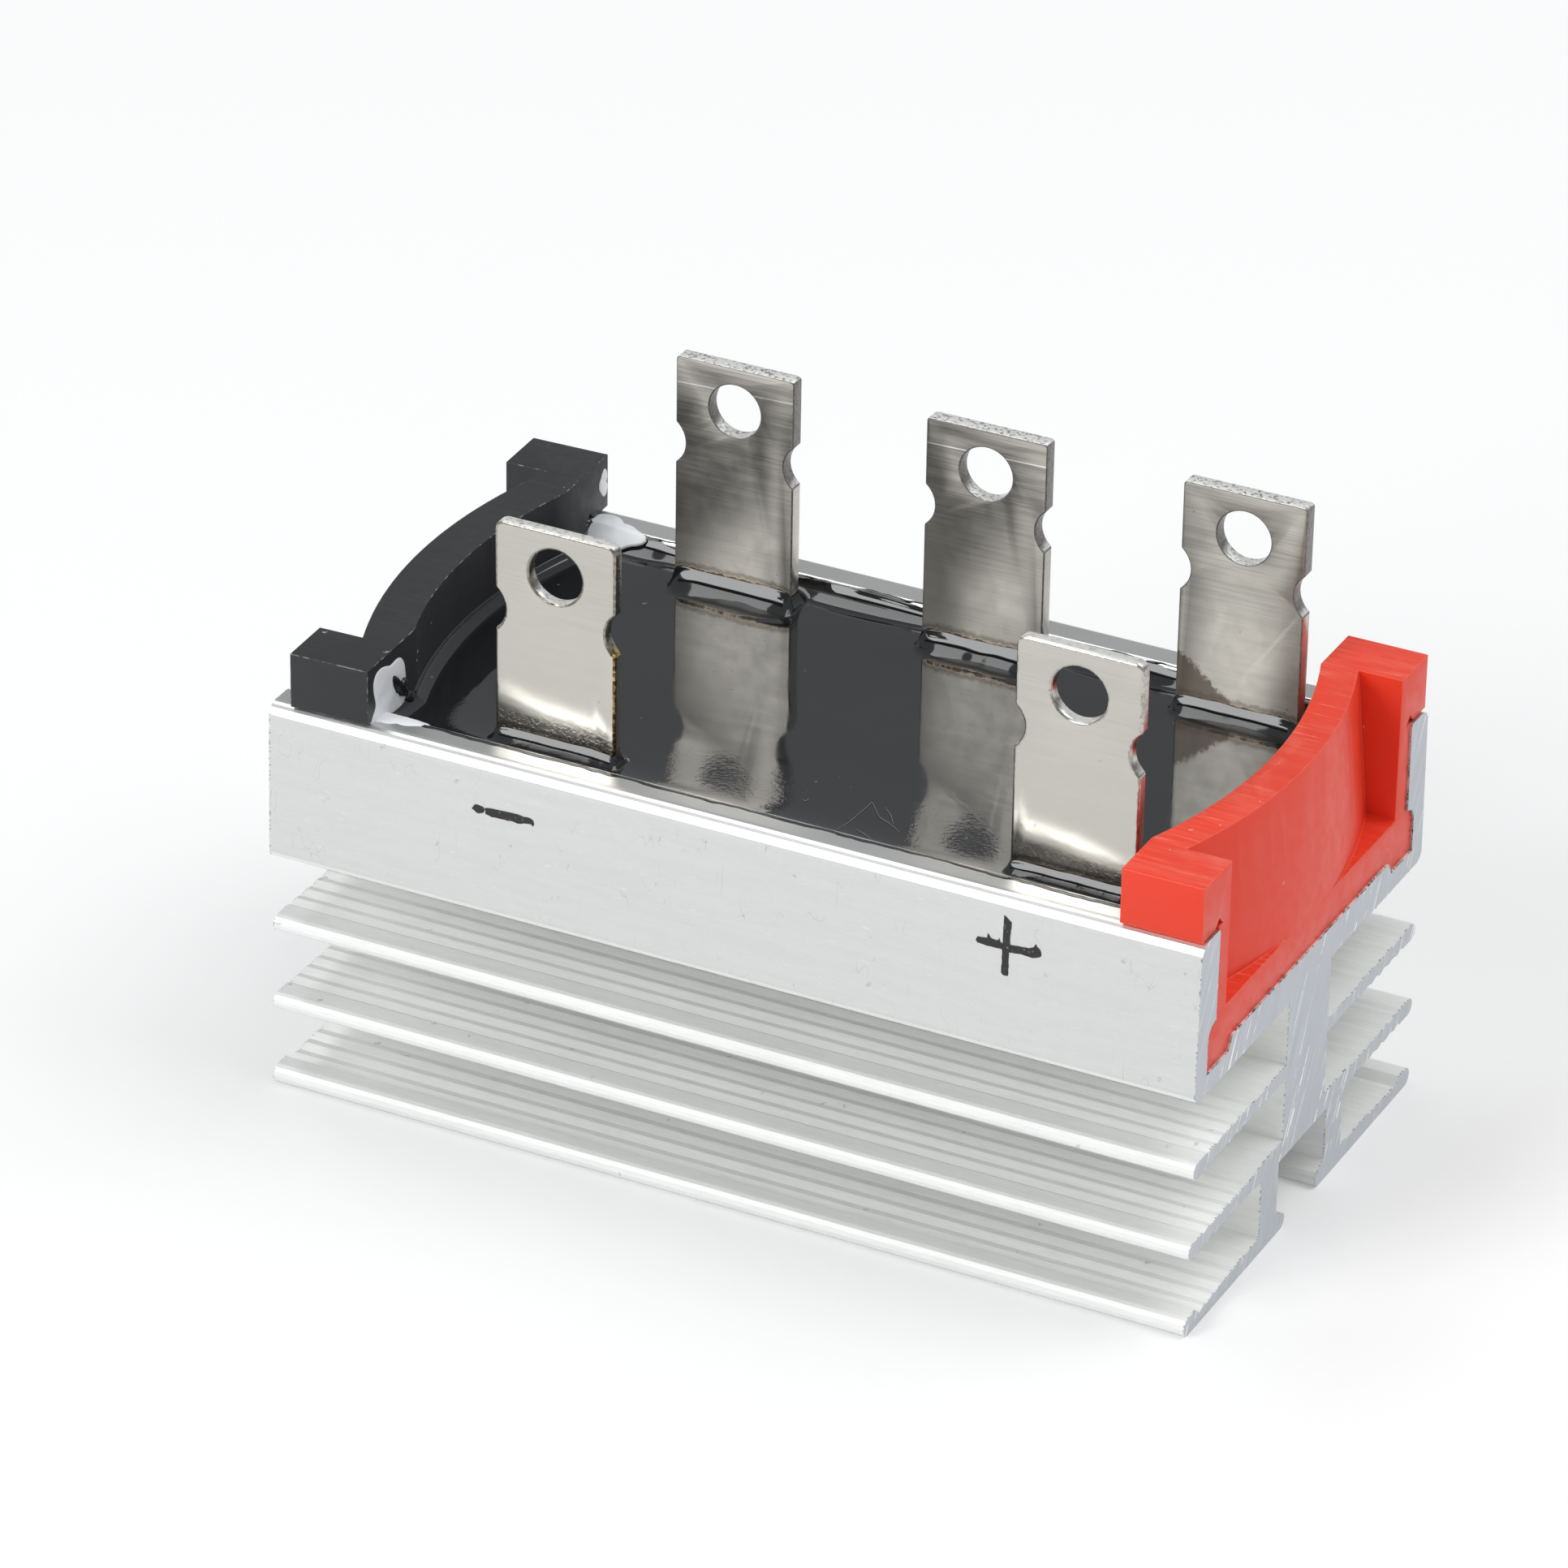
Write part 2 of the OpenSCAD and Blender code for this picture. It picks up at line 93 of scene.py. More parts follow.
class Graph:
    """A node tree that is written as nested calls."""

    def __init__(self, tree: Tree) -> None:
        """Starts on the tree of a material or of a node group."""
        self.tree = tree

    def add(self, kind: str, values: Optional[dict] = None, **settings) -> bpy.types.Node:
        """Adds a node, sets its options and fills its inputs.

        Args:
            kind: The node's type name.
            values: Input names or numbers, each with a value or an output socket to link.
            **settings: Properties of the node itself.

        Returns:
            The new node.
        """
        node = self.tree.nodes.new(kind)
        for name, value in settings.items():
            setattr(node, name, value)
        self.fill(node, values or {})
        return node

    def fill(self, node: bpy.types.Node, values: dict) -> None:
        """Fills a node's inputs with the same kind of values as add."""
        for key, value in values.items():
            if isinstance(value, Socket):
                self.tree.links.new(value, node.inputs[key])
            else:
                node.inputs[key].default_value = value

    def math(self, operation: str, a, b=0.0, clamp: bool = False) -> Socket:
        """One scalar sum, product or comparison of two numbers or sockets."""
        return self.add("ShaderNodeMath", {0: a, 1: b}, operation=operation, use_clamp=clamp).outputs[0]

    plus = partialmethod(math, "ADD")
    minus = partialmethod(math, "SUBTRACT")
    times = partialmethod(math, "MULTIPLY")

    def apart(self, a, b) -> Socket:
        """How far two numbers lie apart."""
        return self.math("ABSOLUTE", self.minus(a, b))

    def vector(self, operation: str, a, b) -> Socket:
        """One sum or product of two vectors."""
        return self.add("ShaderNodeVectorMath", {0: a, 1: b}, operation=operation).outputs[0]

    def ramp(self, value, low: float, high: float, to_low: float = 0.0, to_high: float = 1.0) -> Socket:
        """Maps value from low..high to to_low..to_high with a soft start and end."""
        return self.add("ShaderNodeMapRange", {"Value": value, "From Min": low, "From Max": high,
                                               "To Min": to_low, "To Max": to_high},
                        interpolation_type="SMOOTHSTEP").outputs["Result"]

    def mix(self, share, first, second) -> Socket:
        """Mixes two numbers by a share from 0 to 1."""
        return self.add("ShaderNodeMix", {0: share, 2: first, 3: second}).outputs[0]

    def coats(self, base, *layers) -> Socket:
        """Lays colours over each other.

        Args:
            base: The colour at the bottom.
            *layers: Pairs of a share from 0 to 1 and a colour, from the bottom up.

        Returns:
            The colour that shows.
        """
        for share, colour in layers:
            values = {0: share}
            for index, value in ((6, base), (7, colour)):
                values[index] = value if isinstance(value, Socket) else (*value, 1.0)
            base = self.add("ShaderNodeMix", values, data_type="RGBA").outputs[2]
        return base

    def noise(self, point, scale: float, detail: float = 2.0, rough: float = 0.5,
              distortion: float = 0.0) -> Socket:
        """Smooth noise from 0 to 1 at a point."""
        values = {"Vector": point, "Scale": scale, "Detail": detail, "Roughness": rough}
        return self.add("ShaderNodeTexNoise", {**values, "Distortion": distortion}).outputs["Fac"]

    def split(self, vector) -> Outputs:
        """The X, Y and Z of a vector."""
        return self.add("ShaderNodeSeparateXYZ", {0: vector}).outputs


def effect(name: str, inputs: dict, outputs: Iterable[str], build: Callable[[Graph, Outputs], dict]) -> Tree:
    """Makes a shader node group for an effect that several finishes share.

    Args:
        name: The group's name.
        inputs: Names with default values; a tuple makes a vector socket.
        outputs: Names of the values that the group gives.
        build: Draws the inside from the graph and the group's inputs, and returns its outputs.

    Returns:
        The group, ready to be placed in a material.
    """
    tree = bpy.data.node_groups.new(name, "ShaderNodeTree")
    for key, value in inputs.items():
        kind = "NodeSocketVector" if isinstance(value, tuple) else "NodeSocketFloat"
        tree.interface.new_socket(key, in_out="INPUT", socket_type=kind).default_value = value
    for key in outputs:
        tree.interface.new_socket(key, in_out="OUTPUT", socket_type="NodeSocketFloat")
    graph = Graph(tree)
    graph.add("NodeGroupOutput", build(graph, graph.add("NodeGroupInput").outputs))
    return tree


def draw_streaks(g: Graph, given: Outputs) -> dict:
    """Fine lines: noise that is stretched along one axis, in two widths laid over each other."""
    point = g.vector("MULTIPLY", given["Point"], given["Stretch"])
    fine, broad = g.noise(point, 1.0, 3.0, 0.6), g.noise(point, 0.21)
    return {"Lines": g.plus(g.times(fine, 0.6), g.times(broad, 0.4)), "Scratches": g.ramp(fine, 0.62, 0.72)}


def draw_specks(g: Graph, given: Outputs) -> dict:
    """Small dots: the cores of random cells, bent by noise and kept only in some of the cells."""
    bent = g.vector("ADD", given["Point"], g.noise(given["Point"], 3.0))
    cells = g.add("ShaderNodeTexVoronoi", {"Vector": bent, "Scale": given["Density"],
                                           "Randomness": 1.0}).outputs
    pick = g.add("ShaderNodeSeparateColor", {0: cells["Color"]}).outputs[0]
    return {"Dots": g.times(g.ramp(cells["Distance"], 0.15, 0.08), g.math("LESS_THAN", pick, given["Share"]))}


def draw_mottle(g: Graph, given: Outputs) -> dict:
    """Broad patches of handling marks and a fine grain: two sizes of noise."""
    return {"Patches": g.ramp(g.noise(given["Point"], 0.12, 3.0, 0.55, 0.4), 0.3, 0.7),
            "Grain": g.noise(given["Point"], 0.9, 4.0, 0.6)}


def draw_hairlines(g: Graph, given: Outputs) -> dict:
    """Thin broken scratches: the middle contour of a stretched noise, kept where another is high."""
    point = g.vector("MULTIPLY", given["Point"], given["Stretch"])
    line = g.ramp(g.apart(g.noise(point, 1.0, 1.0, 0.4, 0.3), 0.5), given["Width"], 0.0)
    return {"Lines": g.times(line, g.ramp(g.noise(given["Point"], 0.45), 0.56, 0.62))}


ORIGIN, EVEN = (0.0, 0.0, 0.0), (1.0, 1.0, 1.0)
STREAKS = effect("streaks", {"Point": ORIGIN, "Stretch": EVEN}, ("Lines", "Scratches"), draw_streaks)
SPECKS = effect("specks", {"Point": ORIGIN, "Density": 1.0, "Share": 0.3}, ("Dots",), draw_specks)
MOTTLE = effect("mottle", {"Point": ORIGIN}, ("Patches", "Grain"), draw_mottle)
HAIRLINES = effect("hairlines", {"Point": ORIGIN, "Stretch": EVEN, "Width": 0.004}, ("Lines",), draw_hairlines)


class Paint(Graph):
    """The graph of a new material, with what most finishes start from.

    Attributes:
        material: The material.
        shader: Its Principled shader.
        point: The piece's own coordinates in millimetres.
        facing: The normal in the piece's own coordinates.
    """

    def __init__(self, name: str) -> None:
        """Makes the material, its shader and its coordinates."""
        self.material = bpy.data.materials.new(name)
        self.material.use_nodes = True
        super().__init__(self.material.node_tree)
        self.tree.nodes.clear()
        self.shader = self.add("ShaderNodeBsdfPrincipled")
        self.add("ShaderNodeOutputMaterial", {"Surface": self.shader.outputs[0]})
        where = self.add("ShaderNodeTexCoord").outputs
        self.point = self.vector("MULTIPLY", where["Object"], (1.0 / MM,) * 3)
        self.facing = where["Normal"]

    def place(self, tree: Tree, **values) -> Outputs:
        """Places a shared effect on the piece's coordinates, and gives what it makes."""
        return self.add("ShaderNodeGroup", {"Point": self.point, **values}, node_tree=tree).outputs

    def relief(self, height, depth_mm: float, strength: float = 1.0) -> None:
        """Gives the shader fine relief, depth_mm deep where the height socket is 1."""
        bump = self.add("ShaderNodeBump", {"Height": height, "Distance": depth_mm * MM,
                                           "Strength": strength})
        self.fill(self.shader, {"Normal": bump.outputs["Normal"]})

    def finish(self, **values) -> Material:
        """Fills the shader's inputs, with _ in their names for spaces, and returns the material."""
        self.fill(self.shader, {name.replace("_", " "): value for name, value in values.items()})
        return self.material


def darker(colour: Colour, share: float) -> Colour:
    """The colour with its light cut to a share."""
    return tuple(c * share for c in colour)


@dataclass(frozen=True)
class Extruded:
    """Aluminium as it left the die, with die lines along the length and saw-cut ends."""

    name: str = "extruded_aluminium"
    colour: Colour = (0.955, 0.96, 0.945)
    # The wall colour is darker than colour, which the fins and the rest keep: painted shade on the front wall
    # and painted light on the fins, which are one metal.
    wall: Colour = (0.71, 0.715, 0.71)
    cut: Colour = (0.62, 0.65, 0.69)
    # The colour of the glints painted on the sawn face: painted highlights.
    cut_glint: Colour = (0.97, 0.98, 0.98)
    cut_angle: float = 62.0

    def make(self) -> Material:
        """Draws the metal: die lines on the sides, slanted saw marks where the face looks along X, painted
        shade on the front wall and on the rim's top, and painted glints on the cut.
        """
        g = Paint(self.name)
        normal, height = g.split(g.facing), g.split(g.point)[2]
        end = g.ramp(g.math("ABSOLUTE", normal[0]), 0.85, 0.95)
        upright = g.ramp(g.math("ABSOLUTE", normal[1]), 0.9, 0.97)
        wall = g.times(upright, g.ramp(height, 17.5, 18.5))
        rim = g.times(g.ramp(height, 28.9, 29.4), g.minus(1.0, wall))
        die = g.place(STREAKS, Stretch=(0.03, 5.0, 5.0))
        brush = g.place(STREAKS, Stretch=(0.7, 9.0, 9.0))
        mottle = g.place(MOTTLE)
        specks = g.place(SPECKS, Density=0.7, Share=0.12)
        hair = g.place(HAIRLINES, Stretch=(0.9, 0.4, 0.35), Width=0.006)
        side = g.coats(
            # painted shade: the front wall's face takes the darker wall colour
            self.colour, (g.times(mottle["Patches"], 0.35), darker(self.colour, 0.93)), (wall, self.wall),
            (g.ramp(brush["Lines"], 0.42, 0.6, 0.0, 0.09), (0.45, 0.455, 0.46)),
            (g.times(brush["Scratches"], 0.35), (0.97, 0.97, 0.97)),
            (g.times(hair["Lines"], g.times(wall, 0.45)), (0.3, 0.31, 0.33)),
            (g.times(specks["Dots"], 0.45), (0.35, 0.35, 0.36)),
            # painted shade: faces of the rim that look up are darkened
            (g.times(rim, g.ramp(normal[2], 0.93, 0.98)), darker(self.colour, 0.72)))
        turned = g.add("ShaderNodeVectorRotate", {
            "Vector": g.point, "Rotation": (math.radians(90.0 - self.cut_angle), 0.0, 0.0)},
            rotation_type="EULER_XYZ").outputs[0]
        across = g.vector("MULTIPLY", turned, (0.0, 5.5, 0.12))
        saw = g.noise(across, 1.0, 3.0, 0.55)
        # painted glints: near-white spots on the sawn face stand in for light caught by its ridges
        bright = g.times(g.ramp(g.noise(across, 0.62, 1.0, 0.4), 0.64, 0.7),
                         g.ramp(g.noise(g.point, 0.8), 0.42, 0.56))
        face = g.coats(self.cut, (g.ramp(saw, 0.3, 0.7), darker(self.cut, 0.88)), (bright, self.cut_glint))
        g.relief(g.mix(end, g.mix(wall, die["Lines"], brush["Lines"]), saw), 0.004, 0.7)
        rough = g.mix(rim, g.ramp(mottle["Grain"], 0.3, 0.7, 0.38, 0.48), 0.34)
        metal = g.mix(end, g.mix(rim, g.mix(wall, 0.22, 0.62), 0.9), 0.9)
        return g.finish(Base_Color=g.coats(side, (end, face)), Metallic=metal,
                        Roughness=g.mix(end, rough, 0.52))


@dataclass(frozen=True)
class Burred:
    """Torn metal on sawn and sheared edges, with painted light: faces that look up are painted bright with
    glints on their peaks, and their sides are painted darker.

    Attributes:
        shine: How metallic its top is; a low value is a matt, torn top.
        tarnish: Where given, the metal is gilt and brown beyond this X and below this Z.
    """

    name: str
    # colour is the painted glint on the peaks of faces that look up, dark the rest of those tops, and side the
    # painted shade of the faces beside them.
    colour: Colour = (0.92, 0.93, 0.94)
    dark: Colour = (0.42, 0.43, 0.45)
    side: Colour = (0.5, 0.5, 0.5)
    grain: float = 4.0
    rough: float = 0.3
    depth: float = 0.05
    shine: float = 0.95
    tarnish: Optional[Point2] = None

    def make(self) -> Material:
        """Draws the metal: torn grain, with painted glints on its peaks where the face looks up and painted
        shade on its sides.
        """
        g = Paint(self.name)
        coarse = g.noise(g.point, self.grain, 4.0, 0.65, 0.5)
        g.relief(coarse, self.depth)
        # painted light and shade: faces that look up are bright, the others darker
        top = g.ramp(g.split(g.facing)[2], 0.5, 0.8)
        flank = g.coats(self.side, (g.ramp(coarse, 0.4, 0.6), darker(self.side, 0.6)))
        base = g.coats(flank, (top, g.coats(self.dark, (g.ramp(coarse, 0.38, 0.5), self.colour))))
        if self.tarnish:
            x, _, z = g.split(g.point)
            here = g.times(g.math("GREATER_THAN", x, self.tarnish[0]),
                           g.ramp(z, self.tarnish[1] + 1.0, self.tarnish[1] - 1.0))
            gilt = g.ramp(g.noise(g.point, 2.8, 4.0, 0.7), 0.44, 0.58)
            base = g.coats(base, (here, g.coats((0.09, 0.055, 0.03), (gilt, (0.62, 0.45, 0.2)))))
        return g.finish(Base_Color=base, Metallic=g.mix(top, self.shine, 0.5), Roughness=self.rough)


@dataclass(frozen=True)
class Plated:
    """Bright nickel plate, with fine lines across the tab and stains where the resin meets it.

    Attributes:
        middle: The X of the tab's middle.
        contact: The height at which the resin meets the middle of the tab.
        climb: How far the resin climbs there.
        lines_and_top_shade: How strongly the lines show near the top.
        droplets: How deep the splashes above the resin are.
        score: Where given, a scratch from (x, z) to (x, z).
        scorch: Where given, the corner below z0 - fall * (x - x0) is scorched.
    """

    name: str
    middle: float
    contact: float
    climb: float
    colour: Colour = (0.655, 0.63, 0.57)
    rough: float = 0.28
    line_depth: float = 0.003
    lines_and_top_shade: float = 0.55
    droplets: float = 0.0
    score: Optional[tuple[float, float, float, float]] = None
    scorch: Optional[tuple[float, float, float]] = None

    def line(self, g: Graph, x) -> Socket:
        """The height of the resin's edge: an arch on the tab, as in Potting.height."""
        off = g.math("DIVIDE", g.apart(x, self.middle), BEAD_HALF)
        arch = g.math("POWER", g.minus(1.0, g.math("POWER", off, 12.0), clamp=True), 0.5)
        return g.plus(g.times(arch, self.climb), self.contact - self.climb)

    def make(self) -> Material:
        """Draws the plate: cross lines that grow towards the top and paint shade there, a dark rim at the
        resin, a score and a scorched corner.
        """
        g = Paint(self.name)
        x, _, z = g.split(g.point)
        height = g.place(STREAKS, Stretch=(0.2, 0.6, 7.0))["Lines"]
        mottle = g.place(MOTTLE)
        torn = g.noise(g.point, 2.2, 5.0, 0.7)
        above = g.minus(z, self.line(g, x))
        level = g.plus(above, g.times(g.minus(torn, 0.5), 0.8))
        crust = g.times(g.ramp(level, 0.02, 0.08), g.ramp(level, 0.24, 0.14))
        layers = [
            (g.times(mottle["Patches"], 0.2), darker(self.colour, 0.84)),
            # painted shade: the dark cross lines grow towards the top, darkening it
            (g.times(g.ramp(height, 0.42, 0.6), g.ramp(z, 34.0, 42.0, self.lines_and_top_shade * 0.3, self.lines_and_top_shade)),
             darker(self.colour, 0.42)),
            (g.times(g.place(SPECKS, Density=1.3, Share=0.05)["Dots"], 0.7), (0.22, 0.19, 0.16)),
            (g.times(g.ramp(level, 0.62, 0.3), g.ramp(level, 0.05, 0.25, 1.0, 0.55)), (0.15, 0.115, 0.085)),
            (g.times(crust, 0.75), (0.62, 0.53, 0.42))]
        if self.score:
            x0, z0, x1, z1 = self.score
            on_line = g.plus(g.times(g.minus(x, x0), (z1 - z0) / (x1 - x0)), z0)
            layers.append((g.ramp(g.apart(z, on_line), 0.07, 0.04), (1.0, 0.99, 0.96)))
        if self.scorch:
            x0, z0, fall = self.scorch
            edge = g.minus(z0, g.times(g.minus(x, x0), fall))
            inside = g.minus(edge, g.plus(z, g.times(g.minus(torn, 0.5), 2.2)))
            layers.append((g.times(g.ramp(inside, -0.15, 0.3), 0.82), (0.13, 0.1, 0.075)))
        if self.droplets > 0.0:
            near = g.ramp(above, 1.9, 0.3)
            splash = g.ramp(g.noise(g.point, 3.4, 2.0, 0.5, 0.6), 0.42, 0.62)
            height = g.plus(height, g.times(g.times(splash, near), self.droplets))
            layers.append((g.times(g.ramp(torn, 0.5, 0.62), g.times(near, 0.5)), (0.2, 0.15, 0.1)))
        g.relief(height, self.line_depth)
        return g.finish(Base_Color=g.coats(self.colour, *layers), Metallic=0.9,
                        Roughness=g.ramp(mottle["Grain"], 0.3, 0.75, self.rough, self.rough + 0.07))


@dataclass(frozen=True)
class Moulded:
    """A moulded plastic, with flow marks on its top that are also a painted sheen, and dust on it.

    Attributes:
        mark_and_sheen: The colour of the flow marks, laid only where faces look up, so that it also paints a
            sheen.
        marks: How strongly they show.
        glow: The share of light that goes into the plastic and out again.
    """

    name: str
    colour: Colour
    mark_and_sheen: Colour
    rough: float
    marks: float
    glow: float = 0.0

    def make(self) -> Material:
        """Draws the plastic: flow lines along X on what faces up, laid as a painted sheen there, a grain, pale
        dots of dust.
        """
        g = Paint(self.name)
        flow = g.place(STREAKS, Stretch=(0.25, 3.4, 3.4))
        grain = g.place(MOTTLE)["Grain"]
        dust = g.times(g.place(SPECKS, Density=0.8, Share=0.13)["Dots"], 0.5)
        tone = g.times(g.ramp(flow["Lines"], 0.44, 0.66), 0.45)
        # painted sheen: the flow lines show only on faces that look up, lightening the tops
        lines = g.times(g.plus(tone, flow["Scratches"], clamp=True),
                        g.times(g.ramp(g.split(g.facing)[2], 0.7, 0.95), self.marks))
        if self.glow > 0.0:
            g.finish(Subsurface_Weight=self.glow, Subsurface_Scale=0.0015, Subsurface_Radius=(1.0, 0.16, 0.08))
        g.relief(grain, 0.012, 0.5)
        return g.finish(Base_Color=g.coats(self.colour, (lines, self.mark_and_sheen), (dust, (0.8, 0.78, 0.76))),
                        Roughness=g.ramp(grain, 0.3, 0.7, self.rough - 0.05, self.rough + 0.08),
                        Specular_IOR_Level=0.35)


@dataclass(frozen=True)
class Scuffed:
    """The worn edge of a black moulding: mostly black, with pale scuffs."""

    name: str = "black_edge"
    colour: Colour = (0.035, 0.035, 0.037)
    pale: Colour = (0.24, 0.225, 0.2)

    def make(self) -> Material:
        """Draws the edge with broken pale scuffs along it."""
        g = Paint(self.name)
        worn = g.ramp(g.noise(g.point, 1.4, 4.0, 0.65), 0.5, 0.62)
        return g.finish(Base_Color=g.coats(self.colour, (worn, self.pale)), Roughness=0.5,
                        Specular_IOR_Level=0.4)


@dataclass(frozen=True)
class CastResin:
    """Black casting resin with a wet skin that turns grainy towards the front wall."""

    name: str = "casting_resin"
    colour: Colour = (0.0095, 0.0105, 0.0125)

    def make(self) -> Material:
        """Draws the resin: near-black body, mirror-smooth skin, dust, and a grain that spoils it."""
        g = Paint(self.name)
        dust = g.place(SPECKS, Density=0.9, Share=0.12)["Dots"]
        mottle = g.place(MOTTLE)
        patches = g.times(g.noise(g.point, 0.5, 3.0, 0.6), 6.0)
        front = g.ramp(g.plus(g.split(g.point)[1], patches), -3.0, -9.0)
        grain = g.times(g.noise(g.point, 2.6, 3.0, 0.6), g.times(front, 1.8))
        g.relief(g.plus(grain, g.times(mottle["Grain"], 0.3)), 0.004)
        rough = g.plus(g.ramp(mottle["Patches"], 0.2, 0.9, 0.03, 0.08), g.times(dust, 0.4))
        return g.finish(Base_Color=g.coats(self.colour, (g.times(dust, 0.3), (0.5, 0.5, 0.5))),
                        Roughness=rough, IOR=1.63)


@dataclass(frozen=True)
class Plain:
    """A finish for a small or hidden piece: one colour with a fine grain.

    Attributes:
        worn: Where given, the colour that shows where the first is worn through.
    """

    name: str
    colour: Colour
    rough: float = 0.6
    metallic: float = 0.0
    grain: float = 0.1
    worn: Optional[Colour] = None

    def make(self) -> Material:
        """Draws the colour with a little grain, and what is worn."""
        g = Paint(self.name)
        base = g.coats(self.colour, (g.times(g.place(MOTTLE)["Grain"], self.grain), darker(self.colour, 0.5)))
        if self.worn:
            base = g.coats(base, (g.ramp(g.noise(g.point, 2.6, 4.0, 0.7), 0.6, 0.66), self.worn))
        return g.finish(Base_Color=base, Roughness=self.rough, Metallic=self.metallic)


def add_object(name: str, data: bpy.types.ID) -> bpy.types.Object:
    """Puts a mesh, a lamp or a camera into the scene as a new object."""
    made = bpy.data.objects.new(name, data)
    bpy.context.scene.collection.objects.link(made)
    return made


def add_piece(name: str, points_mm: Array, faces: list, material: Material,
              smooth: bool = True) -> bpy.types.Object:
    """Makes a piece that rides on the part.

    Args:
        name: The piece's name.
        points_mm: An (n, 3) array of points in millimetres.
        faces: Lists of point numbers, anticlockwise seen from outside.
        material: Its finish.
        smooth: Whether its faces are shaded smooth.

    Returns:
        The new object, at the origin.
    """
    points = np.clip(points_mm * MM, *(np.array(corner) for corner in CAD_BOUNDS))
    mesh = bpy.data.meshes.new(name)
    mesh.from_pydata(points.tolist(), [], faces)
    mesh.materials.append(material)
    mesh.polygons.foreach_set("use_smooth", np.full(len(mesh.polygons), smooth))
    mesh.update()
    piece = add_object(name, mesh)
    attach(piece, BODY)
    return piece


def grid_faces(rows: int, columns: int, closed: bool = False) -> Array:
    """Quads of a grid of points, numbered row by row.

    Args:
        rows: How many rows of points there are.
        columns: How many points a row has.
        closed: Whether each row's last point joins its first.

    Returns:
        An (m, 4) array.
    """
    i = np.arange(rows - 1)[:, None]
    j = np.arange(columns if closed else columns - 1)[None, :]
    k = (j + 1) % columns
    quads = np.stack([i * columns + j, i * columns + k, (i + 1) * columns + k, (i + 1) * columns + j], -1)
    return quads.reshape(-1, 4)


def tube(path: Array, radius: float, sides: int = 5) -> tuple[Array, list]:
    """A closed tube: circles square to a path, which shrink to nothing at both ends.

    Args:
        path: An (n, 3) array along the middle.
        radius: The radius in the middle.
        sides: How many points a circle has.

    Returns:
        Points and faces.
    """
    along = np.gradient(path, axis=0)
    along /= np.linalg.norm(along, axis=1)[:, None]
    side = np.cross(along, (0.13, 0.21, 1.0))
    side /= np.linalg.norm(side, axis=1)[:, None]
    up = np.cross(side, along)
    angle = np.linspace(0.0, 2.0 * np.pi, sides, endpoint=False)
    ring = np.cos(angle)[None, :, None] * side[:, None, :] + np.sin(angle)[None, :, None] * up[:, None, :]
    taper = radius * np.sin(np.linspace(0.08, np.pi - 0.08, len(path))) ** 0.3
    points = (path[:, None, :] + taper[:, None, None] * ring).reshape(-1, 3)
    faces = grid_faces(len(path), sides, closed=True).tolist()
    last = len(points) - sides
    return points, faces + [list(range(sides))[::-1], list(range(last, last + sides))]


def value_noise(x: Array, y: Array, seed: int) -> Array:
    """Smooth noise from -1 to 1: random values on a unit grid, joined by cubic steps.

    Args:
        x: First coordinates.
        y: Second coordinates.
        seed: The random seed.

    Returns:
        An array of the inputs' shape.
    """
    cells = 64
    table = np.random.default_rng(seed).uniform(-1.0, 1.0, (cells, cells))
    i, j = np.floor(x).astype(int), np.floor(y).astype(int)
    fx, fy = x - i, y - j
    fx, fy = fx * fx * (3.0 - 2.0 * fx), fy * fy * (3.0 - 2.0 * fy)
    a, b, c, d = (table[(i + di) % cells, (j + dj) % cells] for dj in (0, 1) for di in (0, 1))
    return (a * (1 - fx) + b * fx) * (1 - fy) + (c * (1 - fx) + d * fx) * fy


def crowded_lines(low: float, high: float, count: int, spots: Sequence[float], gain: float) -> Array:
    """Grid lines from low to high that crowd together near some places.

    The density of lines is 1 + gain * exp(-((x - spot) / 0.5)^2) for each spot, and the lines
    share it out evenly.

    Args:
        low: The first line.
        high: The last line.
        count: How many lines there are.
        spots: Where they crowd.
        gain: How dense a crowd is.

    Returns:
        The lines' places.
    """
    fine = np.linspace(low, high, 6001)
    density = 1.0 + sum(gain * np.exp(-((fine - spot) / 0.5) ** 2) for spot in spots)
    total = np.concatenate([[0.0], np.cumsum(0.5 * (density[1:] + density[:-1]))])
    return np.interp(np.linspace(0.0, total[-1], count), total, fine)


def dress(node: str, material: Material) -> None:
    """Gives a rigid piece its finish."""
    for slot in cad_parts[node].material_slots:
        slot.material = material


